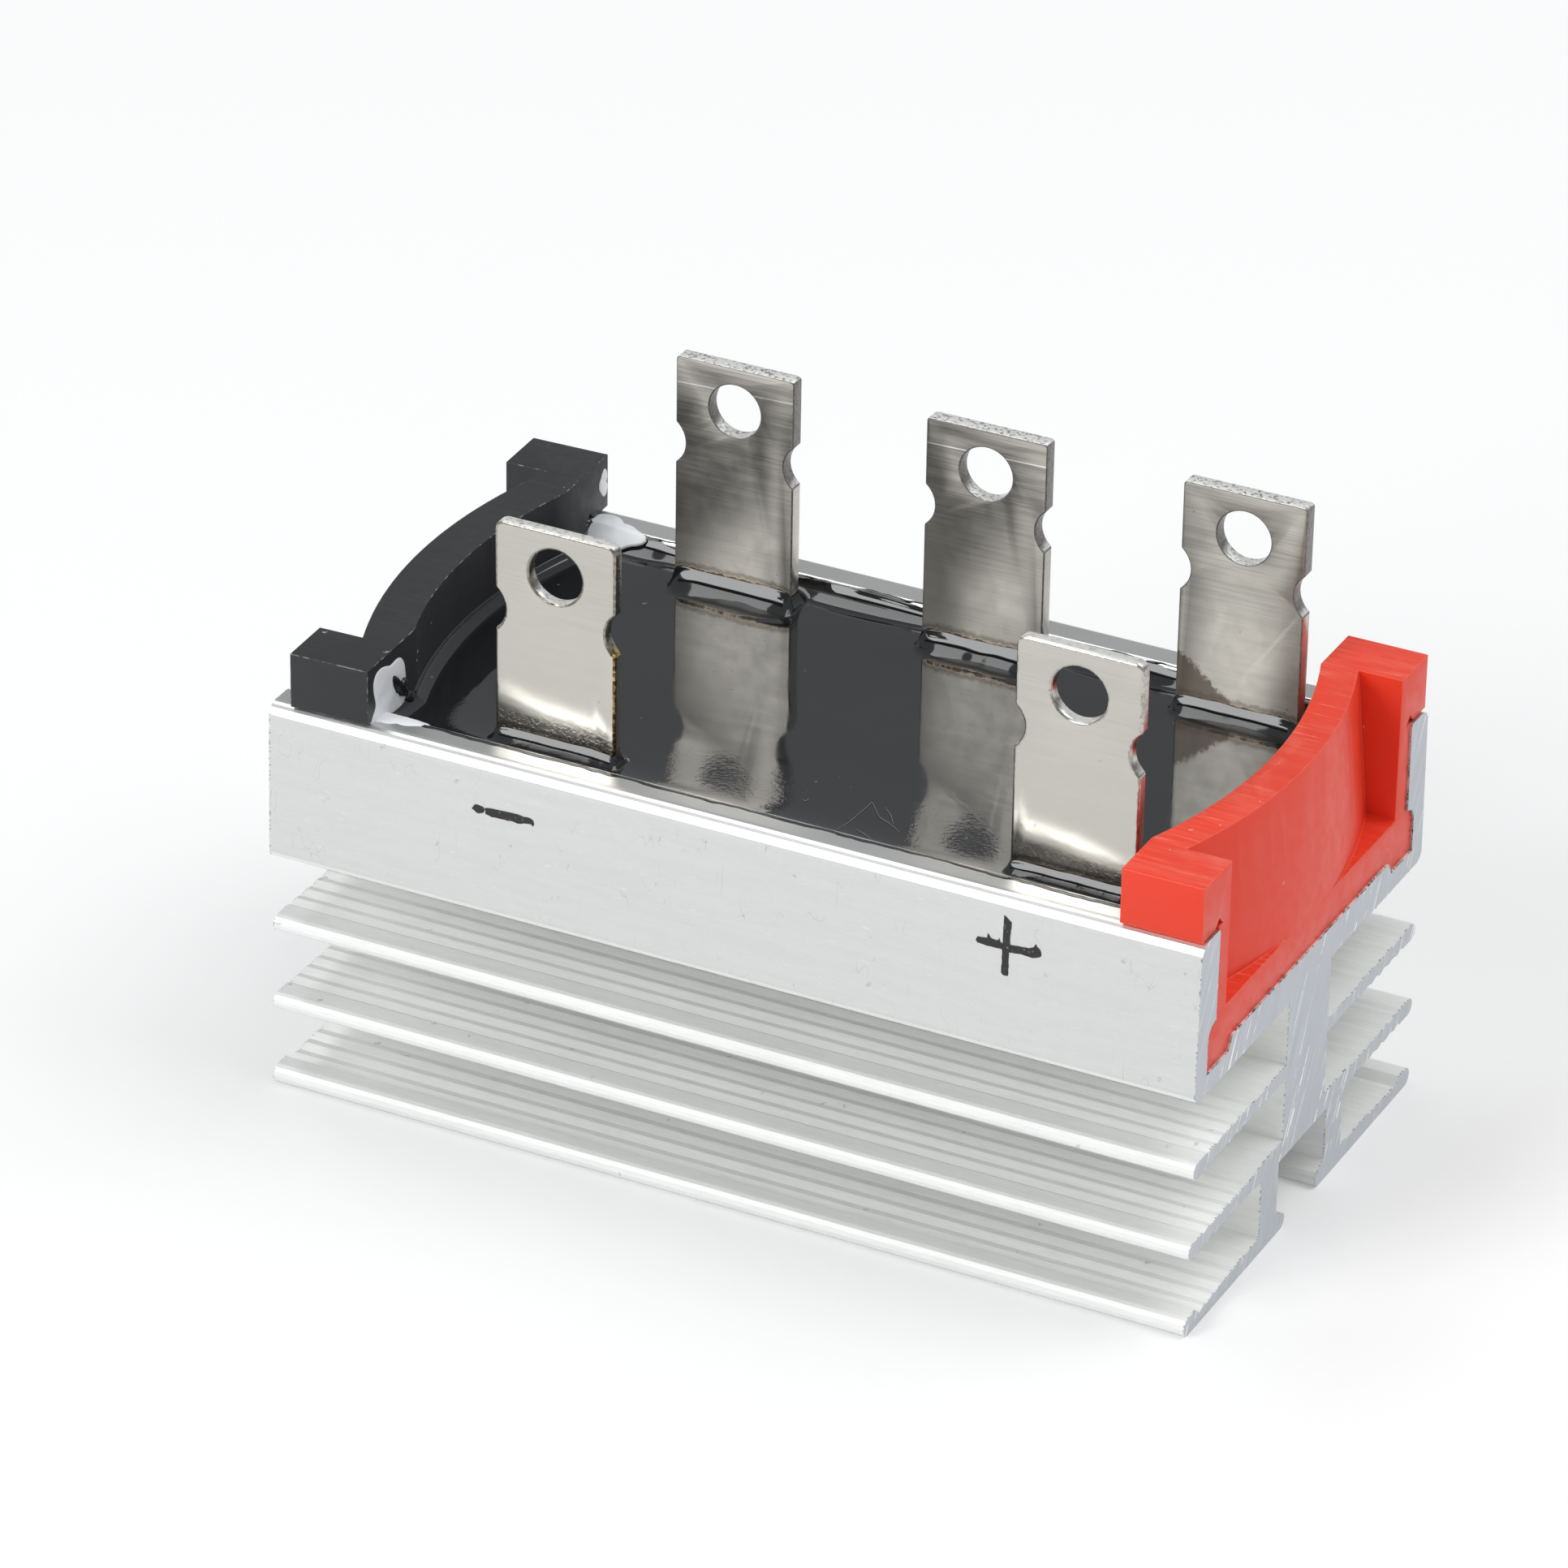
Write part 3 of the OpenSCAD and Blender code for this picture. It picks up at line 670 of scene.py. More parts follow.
@dataclass(frozen=True)
class EdgeBreak:
    """How the edges of a rigid piece are broken in the copy that stands for it.

    Attributes:
        node: The rigid piece's name.
        slot: The record's material slot; not used.
        width: The width of a broken edge.
        sheared_above: Faces above this height that don't look along Y get the third finish.
    """

    node: str
    slot: str
    width: float
    sheared_above: float = math.inf

    def copy(self, finishes: Sequence[Material]) -> None:
        """Copies the piece, merges its triangles, breaks its edges and lets it stand for the piece.

        Args:
            finishes: The finish of its faces, of its broken edges, and of sheared faces.
        """
        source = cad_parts[self.node]
        made = bmesh.new()
        made.from_mesh(source.data)
        made.transform(source.matrix_world)
        bmesh.ops.remove_doubles(made, verts=made.verts, dist=1e-6)
        bmesh.ops.dissolve_limit(made, angle_limit=SAME, verts=made.verts, edges=made.edges)
        made.normal_update()
        weight = made.edges.layers.float.new("bevel_weight_edge")
        for edge in made.edges:
            turn = edge.calc_face_angle(0.0)
            broken = len(edge.link_faces) == 2 and turn > SHARP
            edge[weight] = float(broken)
            edge.smooth = broken or turn < SHARP
        for face in made.faces:
            face.smooth = True
            sheared = abs(face.normal.y) < 0.5 and face.calc_center_median().z > self.sheared_above * MM
            face.material_index = 2 if sheared else 0
        mesh = bpy.data.meshes.new(self.node + "_made")
        made.to_mesh(mesh)
        made.free()
        for finish in finishes:
            mesh.materials.append(finish)
        piece = add_object(self.node + "_made", mesh)
        bevel = piece.modifiers.new("broken_edge", "BEVEL")
        bevel.width = self.width * MM
        bevel.segments = 3
        bevel.limit_method = "WEIGHT"
        bevel.harden_normals = True
        bevel.material = 1
        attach(piece, BODY)
        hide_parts(self.node)


@dataclass
class HeatSink:
    """The extrusion: its metal, the burrs of its saw cuts and the two ink signs.

    Attributes:
        end_x: The X of the sawn ends.
        wall_y: The Y of the front wall's face at its foot and at its top.
        wall_z: The heights of the same two places.
        trough_y: Half the width inside which burrs stand taller, between the heights trough_z.
        burr_every: How far apart burrs may stand.
        burr_share: How many of these places have one.
    """

    end_x: float = 35.0
    wall_y: Point2 = (-18.95, -18.70)
    wall_z: Point2 = (18.05, 30.0)
    trough_y: float = 17.3
    trough_z: Point2 = (19.0, 27.0)
    burr_every: float = 0.16
    burr_share: float = 0.6
    minus_left: tuple[Point2, ...] = (
        (-18.94, 26.48), (-18.56, 26.52), (-18.28, 26.45), (-18.16, 26.3), (-18.18, 26.12), (-18.24, 25.99),
        (-18.56, 25.87), (-18.83, 25.92), (-19.0, 26.06), (-19.19, 26.12), (-19.06, 26.29))
    minus_right: tuple[Point2, ...] = (
        (-18.16, 26.43), (-17.54, 26.51), (-16.83, 26.54), (-16.18, 26.54), (-15.59, 26.59), (-15.11, 26.52),
        (-14.67, 26.53), (-14.46, 26.42), (-14.37, 26.16), (-14.44, 25.93), (-14.55, 26.08), (-14.88, 26.04),
        (-15.64, 25.89), (-16.13, 25.93), (-16.61, 25.89), (-17.53, 25.86), (-18.13, 25.97), (-18.1, 26.2))
    plus_post: tuple[Point2, ...] = (
        (20.75, 28.58), (21.01, 28.39), (21.31, 28.2), (21.3, 27.83), (21.23, 27.18), (21.2, 26.86),
        (21.28, 26.46), (21.18, 25.85), (21.2, 25.27), (21.2, 24.64), (21.18, 24.16), (20.98, 24.11),
        (20.83, 24.11), (20.67, 24.28), (20.67, 24.71), (20.69, 25.14), (20.69, 25.77), (20.64, 26.07),
        (20.7, 26.51), (20.72, 27.04), (20.72, 27.47), (20.73, 28.21))
    plus_bar: tuple[Point2, ...] = (
        (18.74, 26.24), (18.88, 26.49), (19.34, 26.57), (19.57, 26.61), (19.63, 27.0), (19.72, 26.83),
        (19.83, 26.61), (20.11, 26.58), (20.37, 26.58), (20.44, 26.85), (20.53, 26.55), (20.7, 26.46),
        (21.27, 26.51), (21.7, 26.57), (22.21, 26.6), (22.62, 26.61), (22.92, 26.75), (23.11, 27.1),
        (23.24, 26.88), (23.39, 26.76), (23.54, 26.49), (23.5, 26.27), (23.36, 26.12), (22.95, 25.98),
        (22.44, 25.98), (21.83, 26.02), (21.22, 25.91), (20.6, 26.01), (19.98, 26.0), (19.36, 26.02),
        (18.85, 26.09))
    finish: Extruded = field(default_factory=Extruded)
    # The saw burrs carry painted light: bright on faces that look up, darker on their sides.
    torn: Burred = field(default_factory=lambda: Burred("sawn_edge"))

    def build(self) -> None:
        """Makes the extrusion and adds its burrs and signs."""
        dress("heat_sink", self.finish.make())
        self.burrs(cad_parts["heat_sink"], self.torn.make())
        ink = Plain("ink", (0.016, 0.014, 0.013), rough=0.45, grain=0.3, worn=(0.2, 0.2, 0.2)).make()
        self.sign("sign_minus", ink, (self.minus_left, self.minus_right))
        self.sign("sign_plus", ink, (self.plus_bar, self.plus_post))
        LOG.info("heat sink made")

    def sawn_edges(self, source: bpy.types.Object) -> tuple[Array, Array, Array]:
        """Finds the edges of the sawn outlines.

        Args:
            source: The rigid extrusion, whose mesh is triangles.

        Returns:
            Each edge's start, its step and the normal of the side that it ends, in rows.
        """
        mesh = source.data
        mesh.calc_loop_triangles()
        place, rows = np.empty(len(mesh.vertices) * 3), np.empty(len(mesh.loop_triangles) * 3, int)
        mesh.vertices.foreach_get("co", place)
        mesh.loop_triangles.foreach_get("vertices", rows)
        turn = np.array(source.matrix_world)
        place = (place.reshape(-1, 3) @ turn[:3, :3].T + turn[:3, 3]) / MM
        corner = place[rows.reshape(-1, 3)]
        following = np.roll(corner, -1, axis=1)
        normal = np.cross(corner[:, 1] - corner[:, 0], corner[:, 2] - corner[:, 0])
        normal /= np.maximum(np.linalg.norm(normal, axis=1), 1e-9)[:, None]
        found = ((np.abs(corner + following)[..., 0] > 2 * self.end_x - 0.1) & (np.abs(normal[:, :1]) < 0.5)
                 & (np.linalg.norm(following - corner, axis=-1) > 1e-3))
        return corner[found], (following - corner)[found], np.repeat(normal[:, None], 3, axis=1)[found]

    def burrs(self, source: bpy.types.Object, torn: Material) -> None:
        """Sets small slivers of torn metal along the sawn outline.

        A sliver is a tetrahedron: two points on the edge, one out along the side's normal and
        one back along the side. Places and sizes are drawn from a seeded random row. They stand
        2.1 times as tall in the trough, and 0.35 times as far out at the other end.

        Args:
            source: The rigid extrusion.
            torn: The slivers' finish.
        """
        starts, steps, normals = self.sawn_edges(source)
        length = np.linalg.norm(steps, axis=1)
        row = np.repeat(np.arange(len(starts)), np.maximum(1, (length / self.burr_every).astype(int)))
        rng = np.random.default_rng(17)
        row = row[rng.random(len(row)) < self.burr_share]
        column = (len(row), 1)
        at = starts[row] + rng.random(column) * steps[row]
        low, high = self.trough_z
        inner = (np.abs(at[:, 1]) < self.trough_y) & (at[:, 2] > low) & (at[:, 2] < high)
        grown = np.where(inner, 2.1, 1.0)[:, None]
        half = steps[row] / length[row][:, None] * rng.uniform(0.03, 0.11, column) * grown
        inward = -np.sign(at) * (1.0, 0.0, 0.0)
        at = at + inward * 0.012
        out = normals[row] * rng.uniform(0.02, 0.11, column) * grown * np.where(at[:, :1] > 0.0, 1.0, 0.35)
        back = inward * rng.uniform(0.04, 0.16, column)
        corners = np.stack([at - half, at + half, at + out, at + back], 1)
        turned = np.linalg.det(corners[:, 1:] - corners[:, :1]) > 0.0
        corners[turned] = corners[turned][:, [1, 0, 2, 3]]
        first = np.arange(len(row))[:, None, None] * 4
        faces = (first + np.array([[0, 1, 2], [0, 3, 1], [1, 3, 2], [2, 3, 0]])).reshape(-1, 3)
        add_piece("saw_burrs", corners.reshape(-1, 3), faces.tolist(), torn, smooth=False)

    def sign(self, name: str, ink: Material, strokes: Sequence[Sequence[Point2]]) -> None:
        """Lays a sign of flat strokes on the front wall.

        Each stroke is an outline in X and Z. It runs round its corners in straight lines, and
        every point is moved in or out a little, as the edge of a stamp's ink is. It stands
        0.012 off the wall, and each further stroke 0.002 more.

        Args:
            name: The piece's name.
            ink: Its material.
            strokes: The outline of each stroke, clockwise seen from the front.
        """
        points, faces, first = [], [], 0
        for number, stroke in enumerate(strokes):
            closed = np.array(stroke[-1:] + stroke)[::-1]
            along = np.concatenate([[0.0], np.cumsum(np.linalg.norm(np.diff(closed, axis=0), axis=1))])
            at = np.linspace(0.0, along[-1], int(along[-1] / 0.09), endpoint=False)
            still = np.full(len(at), 5.0)
            x = np.interp(at, along, closed[:, 0]) + 0.02 * value_noise(at * 4.0, still, 3)
            z = np.interp(at, along, closed[:, 1]) + 0.03 * value_noise(at * 4.0 + 20.0, still, 4)
            y = np.interp(z, self.wall_z, self.wall_y) - 0.012 - 0.002 * number
            points.append(np.column_stack([x, y, z]))
            faces.append(list(range(first, first + len(at))))
            first += len(at)
        add_piece(name, np.concatenate(points), faces, ink, smooth=False)


@dataclass
class EndCap:
    """One moulded cap and the outline that it gives the potting.

    Attributes:
        node: The rigid piece's name.
        end_x: The X of its outer end.
        wall_t: How thick its curved wall is.
        skew: How far it is turned, in degrees.
        edge_w: How wide its edges are broken.
        finish: Its plastic.
        edge: The finish of its broken edges.
        length: Its length along X.
        arc_r: The radius of its curved wall.
        setback: How far the wall's middle lies behind its outer end.
    """

    node: str
    end_x: float
    wall_t: float
    skew: float
    edge_w: float
    finish: Moulded
    edge: Union[Moulded, Scuffed]
    length: float = 5.95
    arc_r: float = 42.5
    setback: float = 0.9

    def build(self) -> None:
        """Makes the cap with broken edges."""
        EdgeBreak(self.node, self.node, self.edge_w).copy([self.finish.make(), self.edge.make()])
        LOG.info("%s made", self.node)

    def inner_x(self, y: Array) -> Array:
        """The X of the cap's inner face at each Y.

        Along the cap's own width w the face lies at -length, or on the circle of the curved
        wall, -setback - arc_r + sqrt((arc_r - wall_t)^2 - w^2), whichever is further out.
        The curve is mirrored for the negative cap, turned by the skew, and read off at y.
        """
        w = np.linspace(-22.0, 22.0, 881)
        face = np.maximum(-self.length, -self.setback - self.arc_r
                          + np.sqrt((self.arc_r - self.wall_t) ** 2 - w ** 2))
        if self.end_x > 0.0:
            return np.interp(y, w, self.end_x + face)
        turn = math.radians(self.skew)
        x = -face * math.cos(turn) - w * math.sin(turn) + self.end_x
        across = -face * math.sin(turn) + w * math.cos(turn)
        return np.interp(y, across, x)


@dataclass(frozen=True)
class Tab:
    """Where a tab comes out of the resin.

    Attributes:
        node: The rigid piece's name.
        x: The X of its middle.
        side: The row that it stands in.
        thick: How thick it is.
        size: The size of the bead of resin round it.
    """

    node: str
    x: float
    side: Side
    thick: float
    size: float

    @property
    def climb(self) -> float:
        """How far the resin climbs the middle of the tab."""
        return float(climb_at(np.zeros(1))[0]) * self.size


def climb_at(distance: Array) -> Array:
    """The height of a full-size bead of resin at a distance from what it wets.

    Its slope falls in straight runs between knots: steep at the wall, 1.2 at 0.37, 0.61 at 0.7,
    then a long flank down to 0.5 at 1.3, and a soft landing at 2.26. The height is the sum of
    the slope from d outwards.
    """
    d = np.linspace(0.0, 2.3, 921)
    slope = np.interp(d, (0.0, 0.04, 0.37, 0.6, 0.7, 1.3, 1.75, 2.26),
                      (3.5, 2.35, 1.2, 0.66, 0.61, 0.5, 0.2, 0.0))
    height = np.cumsum(slope[::-1])[::-1] * (d[1] - d[0])
    return np.interp(distance, d, height - height[-1], right=0.0)


TABS = (
    Tab("terminal_minus", -15.5, Side.FRONT, 1.0, 0.66),
    Tab("terminal_plus", 23.3, Side.FRONT, 1.0, 0.64),
    Tab("terminal_ac_1", -15.5, Side.BACK, 1.2, 0.99),
    Tab("terminal_ac_2", 3.9, Side.BACK, 1.2, 0.9),
    Tab("terminal_ac_3", 23.3, Side.BACK, 1.2, 0.8),
)


@dataclass
class Potting:
    """The cast resin, with a skin that climbs the walls, the caps and the tabs."""

    minus_cap: EndCap
    plus_cap: EndCap
    level: float = 28.75
    bottom: float = 20.6
    wall_y: float = 15.862
    tab_y: float = 13.2126
    tab_w: float = 9.2
    rim_z: float = 30.0
    rim_r: float = 0.35
    columns: int = 400
    rows: int = 230

    def height(self, x: Array, y: Array, to_cap: Array) -> Array:
        """The skin's height above the level.

        Low waves run over it, and it rises to the front wall by 0.29 * exp(-d / 3.4)
        + 0.5 * exp(-d / 0.7). A bead of the form of climb_at stands at each surface that it
        wets. The bead at the back wall comes and goes along X. A tab's bead keeps its height
        along the tab by sqrt(1 - (off / BEAD_HALF)^12), where off is how far x lies from the
        tab's middle, and its reach narrows to its ends by sqrt(1 - (off / LENS_HALF)^4).
        """
        waves = 0.022 * value_noise(x / 9.0 + 20.0, y / 7.0 + 20.0, 11)
        waves = waves + 0.004 * value_noise(x / 2.6 + 40.0, y / 2.2 + 40.0, 12)
        shake = 0.06 * value_noise(x / 1.3 + 50.0, y / 1.3 + 50.0, 14)
        back = 0.6 + 0.05 * value_noise(x / 4.0 + 30.0, x * 0.0 + 3.0, 13)
        for middle, width in ((-24.8, 2.2), (-6.9, 4.4), (12.2, 4.2)):
            back = back + 0.2 * np.exp(-((x - middle) / width) ** 4)
        to_back = self.wall_y - y
        to_front = self.wall_y + y
        lift = back * climb_at(to_back / back) + 0.5 * climb_at(to_cap / 0.5)
        lift = lift + 0.29 * np.exp(-to_front / 3.4) + 0.5 * np.exp(-to_front / 0.7)
        for tab in TABS:
            off = np.abs(x - tab.x)
            dx = np.maximum(off - self.tab_w / 2.0, 0.0)
            dy = np.maximum(np.abs(y - tab.side.value * self.tab_y) - tab.thick / 2.0, 0.0)
            tall = np.sqrt(np.clip(1.0 - (off / BEAD_HALF) ** 12, 0.0, 1.0))
            wide = np.sqrt(np.clip(1.0 - (off / LENS_HALF) ** 4, 0.1, 1.0))
            size = tab.size * (1.0 + shake)
            lift = lift + tall * size * climb_at(np.hypot(dx, dy) / (size * wide))
        return waves + lift

    def spill(self, x: Array, side: float) -> Array:
        """How far a thin film of resin has crept onto the rim of a wall, along X."""
        seed, reach = (31, 0.72) if side < 0.0 else (32, 0.16)
        creep = reach + 0.1 * value_noise(x / 2.1 + 30.0, x * 0.0 + 7.0, seed)
        return creep + 0.07 * value_noise(x / 0.7 + 30.0, x * 0.0 + 9.0, seed)

    def build(self) -> None:
        """Makes the resin: a grid over the trough, a film on the rims, skirts and a flat bottom."""
        ends = [tab.x + s * self.tab_w / 2.0 for tab in TABS for s in (-1.0, 1.0)]
        faces_y = [s * (self.tab_y + t) for s in (-1.0, 1.0) for t in (-0.8, 0.8)]  # beside each row of tabs
        y = crowded_lines(-self.wall_y, self.wall_y, self.rows, faces_y + [-self.wall_y, self.wall_y], 7.0)
        caps = (self.minus_cap, self.plus_cap)
        near, far = (float(cap.inner_x(np.array([self.tab_y]))[0]) for cap in caps)
        x = crowded_lines(near, far, self.columns, ends + [near, far], 2.5)
        low, high = (cap.inner_x(y)[:, None] for cap in caps)
        x = low + (high - low) * (x - near) / (far - near)
        y = np.broadcast_to(y[:, None], x.shape)
        skin = np.stack([x, y, self.level + self.height(x, y, np.minimum(x - low, high - x))], -1)
        top = np.concatenate([self.film(skin[0], -1.0)[::-1], skin, self.film(skin[-1], 1.0)])
        faces = grid_faces(len(top), self.columns).tolist()
        index = np.arange(len(top) * self.columns).reshape(-1, self.columns)
        top = top.reshape(-1, 3)
        rim = np.concatenate([index[0], index[1:, -1], index[-1, -2::-1], index[-2:0:-1, 0]])
        collar = top[rim].copy()
        collar[:, 1] = np.clip(collar[:, 1], -self.wall_y, self.wall_y)
        collar[:, 2] = np.minimum(collar[:, 2], self.rim_z - 0.4)
        foot = collar.copy()
        foot[:, 2] = self.bottom
        below = np.arange(len(rim)) + len(top)
        loops = np.stack([rim, below, below + len(rim)])
        following = np.roll(loops, -1, axis=1)
        count = len(faces)
        for k in (0, 1):
            faces += np.stack([loops[k], loops[k + 1], following[k + 1], following[k]], -1).tolist()
        middle = np.full(len(rim), loops[-1, -1] + 1)
        faces += np.stack([loops[-1], middle, following[-1]], -1).tolist()
        points = np.concatenate([top, collar, foot, [[0.0, 0.0, self.bottom]]])
        piece = add_piece("potting_cast", points, faces, CastResin().make())
        piece.data.polygons.foreach_set("use_smooth", np.arange(len(faces)) < count)
        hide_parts("potting")
        LOG.info("potting cast, %d faces", len(faces))

    def film(self, edge: Array, side: float) -> Array:
        """Rows of points that carry the skin on over the rounded rim of a wall.

        The rim is a quarter circle of radius r, so at t past the wall's face its height is
        rim_z - r + sqrt(r^2 - (r - t)^2). The film lies 0.03 above it and thins out.

        Args:
            edge: The skin's last row of points.
            side: The sign of Y.

        Returns:
            A (4, columns, 3) array from the wall's face outwards.
        """
        share = np.array([0.25, 0.5, 0.85, 1.0])[:, None]
        out = share * self.spill(edge[:, 0], side)[None, :]
        r = self.rim_r
        t = np.clip(out, 0.0, r)
        z = self.rim_z - r + np.sqrt(r ** 2 - (r - t) ** 2) + np.array([0.03, 0.03, 0.02, -0.01])[:, None]
        first = edge[None, :, 2]
        z = first + (z - first) * np.minimum(share * 3.0, 1.0)
        x = np.broadcast_to(edge[None, :, 0], out.shape)
        return np.stack([x, side * (self.wall_y + out), z], -1)

    def litter(self) -> None:
        """Drops fibres on the skin."""
        fibres = (
            ((6.1, -14.9), (6.43, -12.93), (6.47, -10.0), (6.46, -9.47), (7.87, -11.25), (8.99, -11.75),
             (10.1, -12.6)),
            ((7.58, -9.77), (8.42, -10.59), (9.13, -11.67)),
            ((7.28, -13.6), (8.3, -14.1), (9.8, -15.1)),
            ((2.4, -11.2), (2.6, -11.35), (2.5, -11.6), (2.2, -11.5)),
        )
        soften = np.array([1.0, 2.0, 3.0, 2.0, 1.0]) / 9.0
        points, faces = np.empty((0, 3)), []
        for fibre in fibres:
            step = np.linspace(0.0, len(fibre) - 1.0, 8 * len(fibre))
            x, y = (np.interp(step, np.arange(len(fibre)), way) for way in zip(*fibre))
            for way in (x, y):
                way[2:-2] = np.convolve(way, soften, "valid")
            z = self.level + self.height(x, y, np.full(len(x), OPEN)) + 0.05
            z = z + 0.03 * value_noise(x + 60.0, y + 60.0, 15)
            made, quads = tube(np.column_stack([x, y, z]), 0.013)
            faces += [[index + len(points) for index in quad] for quad in quads]
            points = np.concatenate([points, made])
        add_piece("fibres", points, faces, Plain("lint", (0.34, 0.33, 0.31), rough=0.8).make())


@dataclass
class Terminals:
    """The five plated tabs.

    Attributes:
        potting: The resin, which marks them where it climbs.
    """

    potting: Potting

    def build(self) -> None:
        """Makes each tab with broken edges and sheared sides."""
        # The burred edges carry painted light: bright glints on faces that look up, and darker sides.
        bright = (0.9, 0.89, 0.86)
        rolled = Burred("rolled_edge", bright, (0.66, 0.64, 0.6), (0.55, 0.53, 0.49), 2.4, 0.22, 0.012).make()
        gilt = Burred("tarnished_edge", bright, (0.5, 0.48, 0.45), (0.36, 0.34, 0.3), 2.8, 0.25, 0.04,
                      tarnish=(-11.3, 38.6)).make()
        torn = Burred("sheared_edge", (0.97, 0.96, 0.94), (0.3, 0.29, 0.27), (0.24, 0.232, 0.218), 3.4, 0.25,
                      0.09, shine=0.3).make()
        # Each plate colour is set apart to match how bright its tab stands: painted light and shade on copies
        # of one nickel plate, darker on the front tabs and darkest on terminal_ac_2.
        satin_and_shade = dict(colour=(0.575, 0.553, 0.505), rough=0.17, line_depth=0.0012, lines_and_top_shade=0.1)
        finishes = {
            "terminal_minus": dict(satin_and_shade, droplets=14.0),
            "terminal_plus": dict(satin_and_shade, droplets=7.0),
            "terminal_ac_1": dict(score=(-20.18, 44.6, -10.73, 44.94), colour=(0.635, 0.61, 0.552)),
            "terminal_ac_2": dict(score=(-0.59, 44.47, 8.05, 44.68), colour=(0.54, 0.518, 0.468)),
            "terminal_ac_3": dict(scorch=(18.7, 33.5, 0.8), lines_and_top_shade=0.4, colour=(0.63, 0.606, 0.548)),
        }
        for tab in TABS:
            at = (np.array([v]) for v in (tab.x, tab.side.value * self.potting.tab_y, OPEN))
            contact = self.potting.level + float(self.potting.height(*at)[0])
            plate = Plated(tab.node.replace("terminal", "nickel"), tab.x, contact, tab.climb,
                           **finishes[tab.node]).make()
            edge = {"terminal_minus": gilt, "terminal_plus": rolled}.get(tab.node, torn)
            width = 0.2 if tab.side is Side.FRONT else 0.1
            EdgeBreak(tab.node, "terminal", width, 29.0).copy([plate, edge, edge])
        LOG.info("terminals made")


RINGS, SECTORS = 14, 72  # how many rings and points round it a blob has


@dataclass(frozen=True)
class Blob:
    """A low dome of sealant or resin with a free outline.

    Attributes:
        middle: Where its middle lies, in the surface's own two coordinates.
        outline: Its corners, in the same coordinates, in order round the middle.
        thick: How high it stands.
    """

    middle: Point2
    outline: tuple[Point2, ...]
    thick: float

    def shape(self) -> tuple[Array, Array]:
        """The dome's points in the surface's coordinates and their heights, ring by ring.

        The outline's radius is read off by angle and smoothed; the height at a share r of the
        radius is thick * (1 - r^3)^0.6, and the last ring is sunk below the surface.

        Returns:
            A (RINGS * SECTORS, 2) array and its heights.
        """
        corner = np.array(self.outline) - np.array(self.middle)
        angle = np.arctan2(corner[:, 1], corner[:, 0])
        order = np.argsort(angle)
        theta = np.linspace(-np.pi, np.pi, SECTORS, endpoint=False)
        radius = np.interp(theta, angle[order], np.hypot(corner[order, 0], corner[order, 1]),
                           period=2.0 * np.pi)
        for _ in range(3):
            radius = 0.25 * np.roll(radius, 1) + 0.5 * radius + 0.25 * np.roll(radius, -1)
        r = np.linspace(0.03, 1.0, RINGS)
        flat = (r[:, None, None] * radius[None, :, None]
                * np.stack([np.cos(theta), np.sin(theta)], -1)[None, :, :]) + np.array(self.middle)
        rise = self.thick * (1.0 - r ** 3) ** 0.6
        rise = rise[:, None] * (1.0 + 0.25 * value_noise(flat[..., 0] * 1.4 + 30, flat[..., 1] * 1.4 + 30, 21))
        rise[-1] = -0.05
        return flat.reshape(-1, 2), rise.reshape(-1)


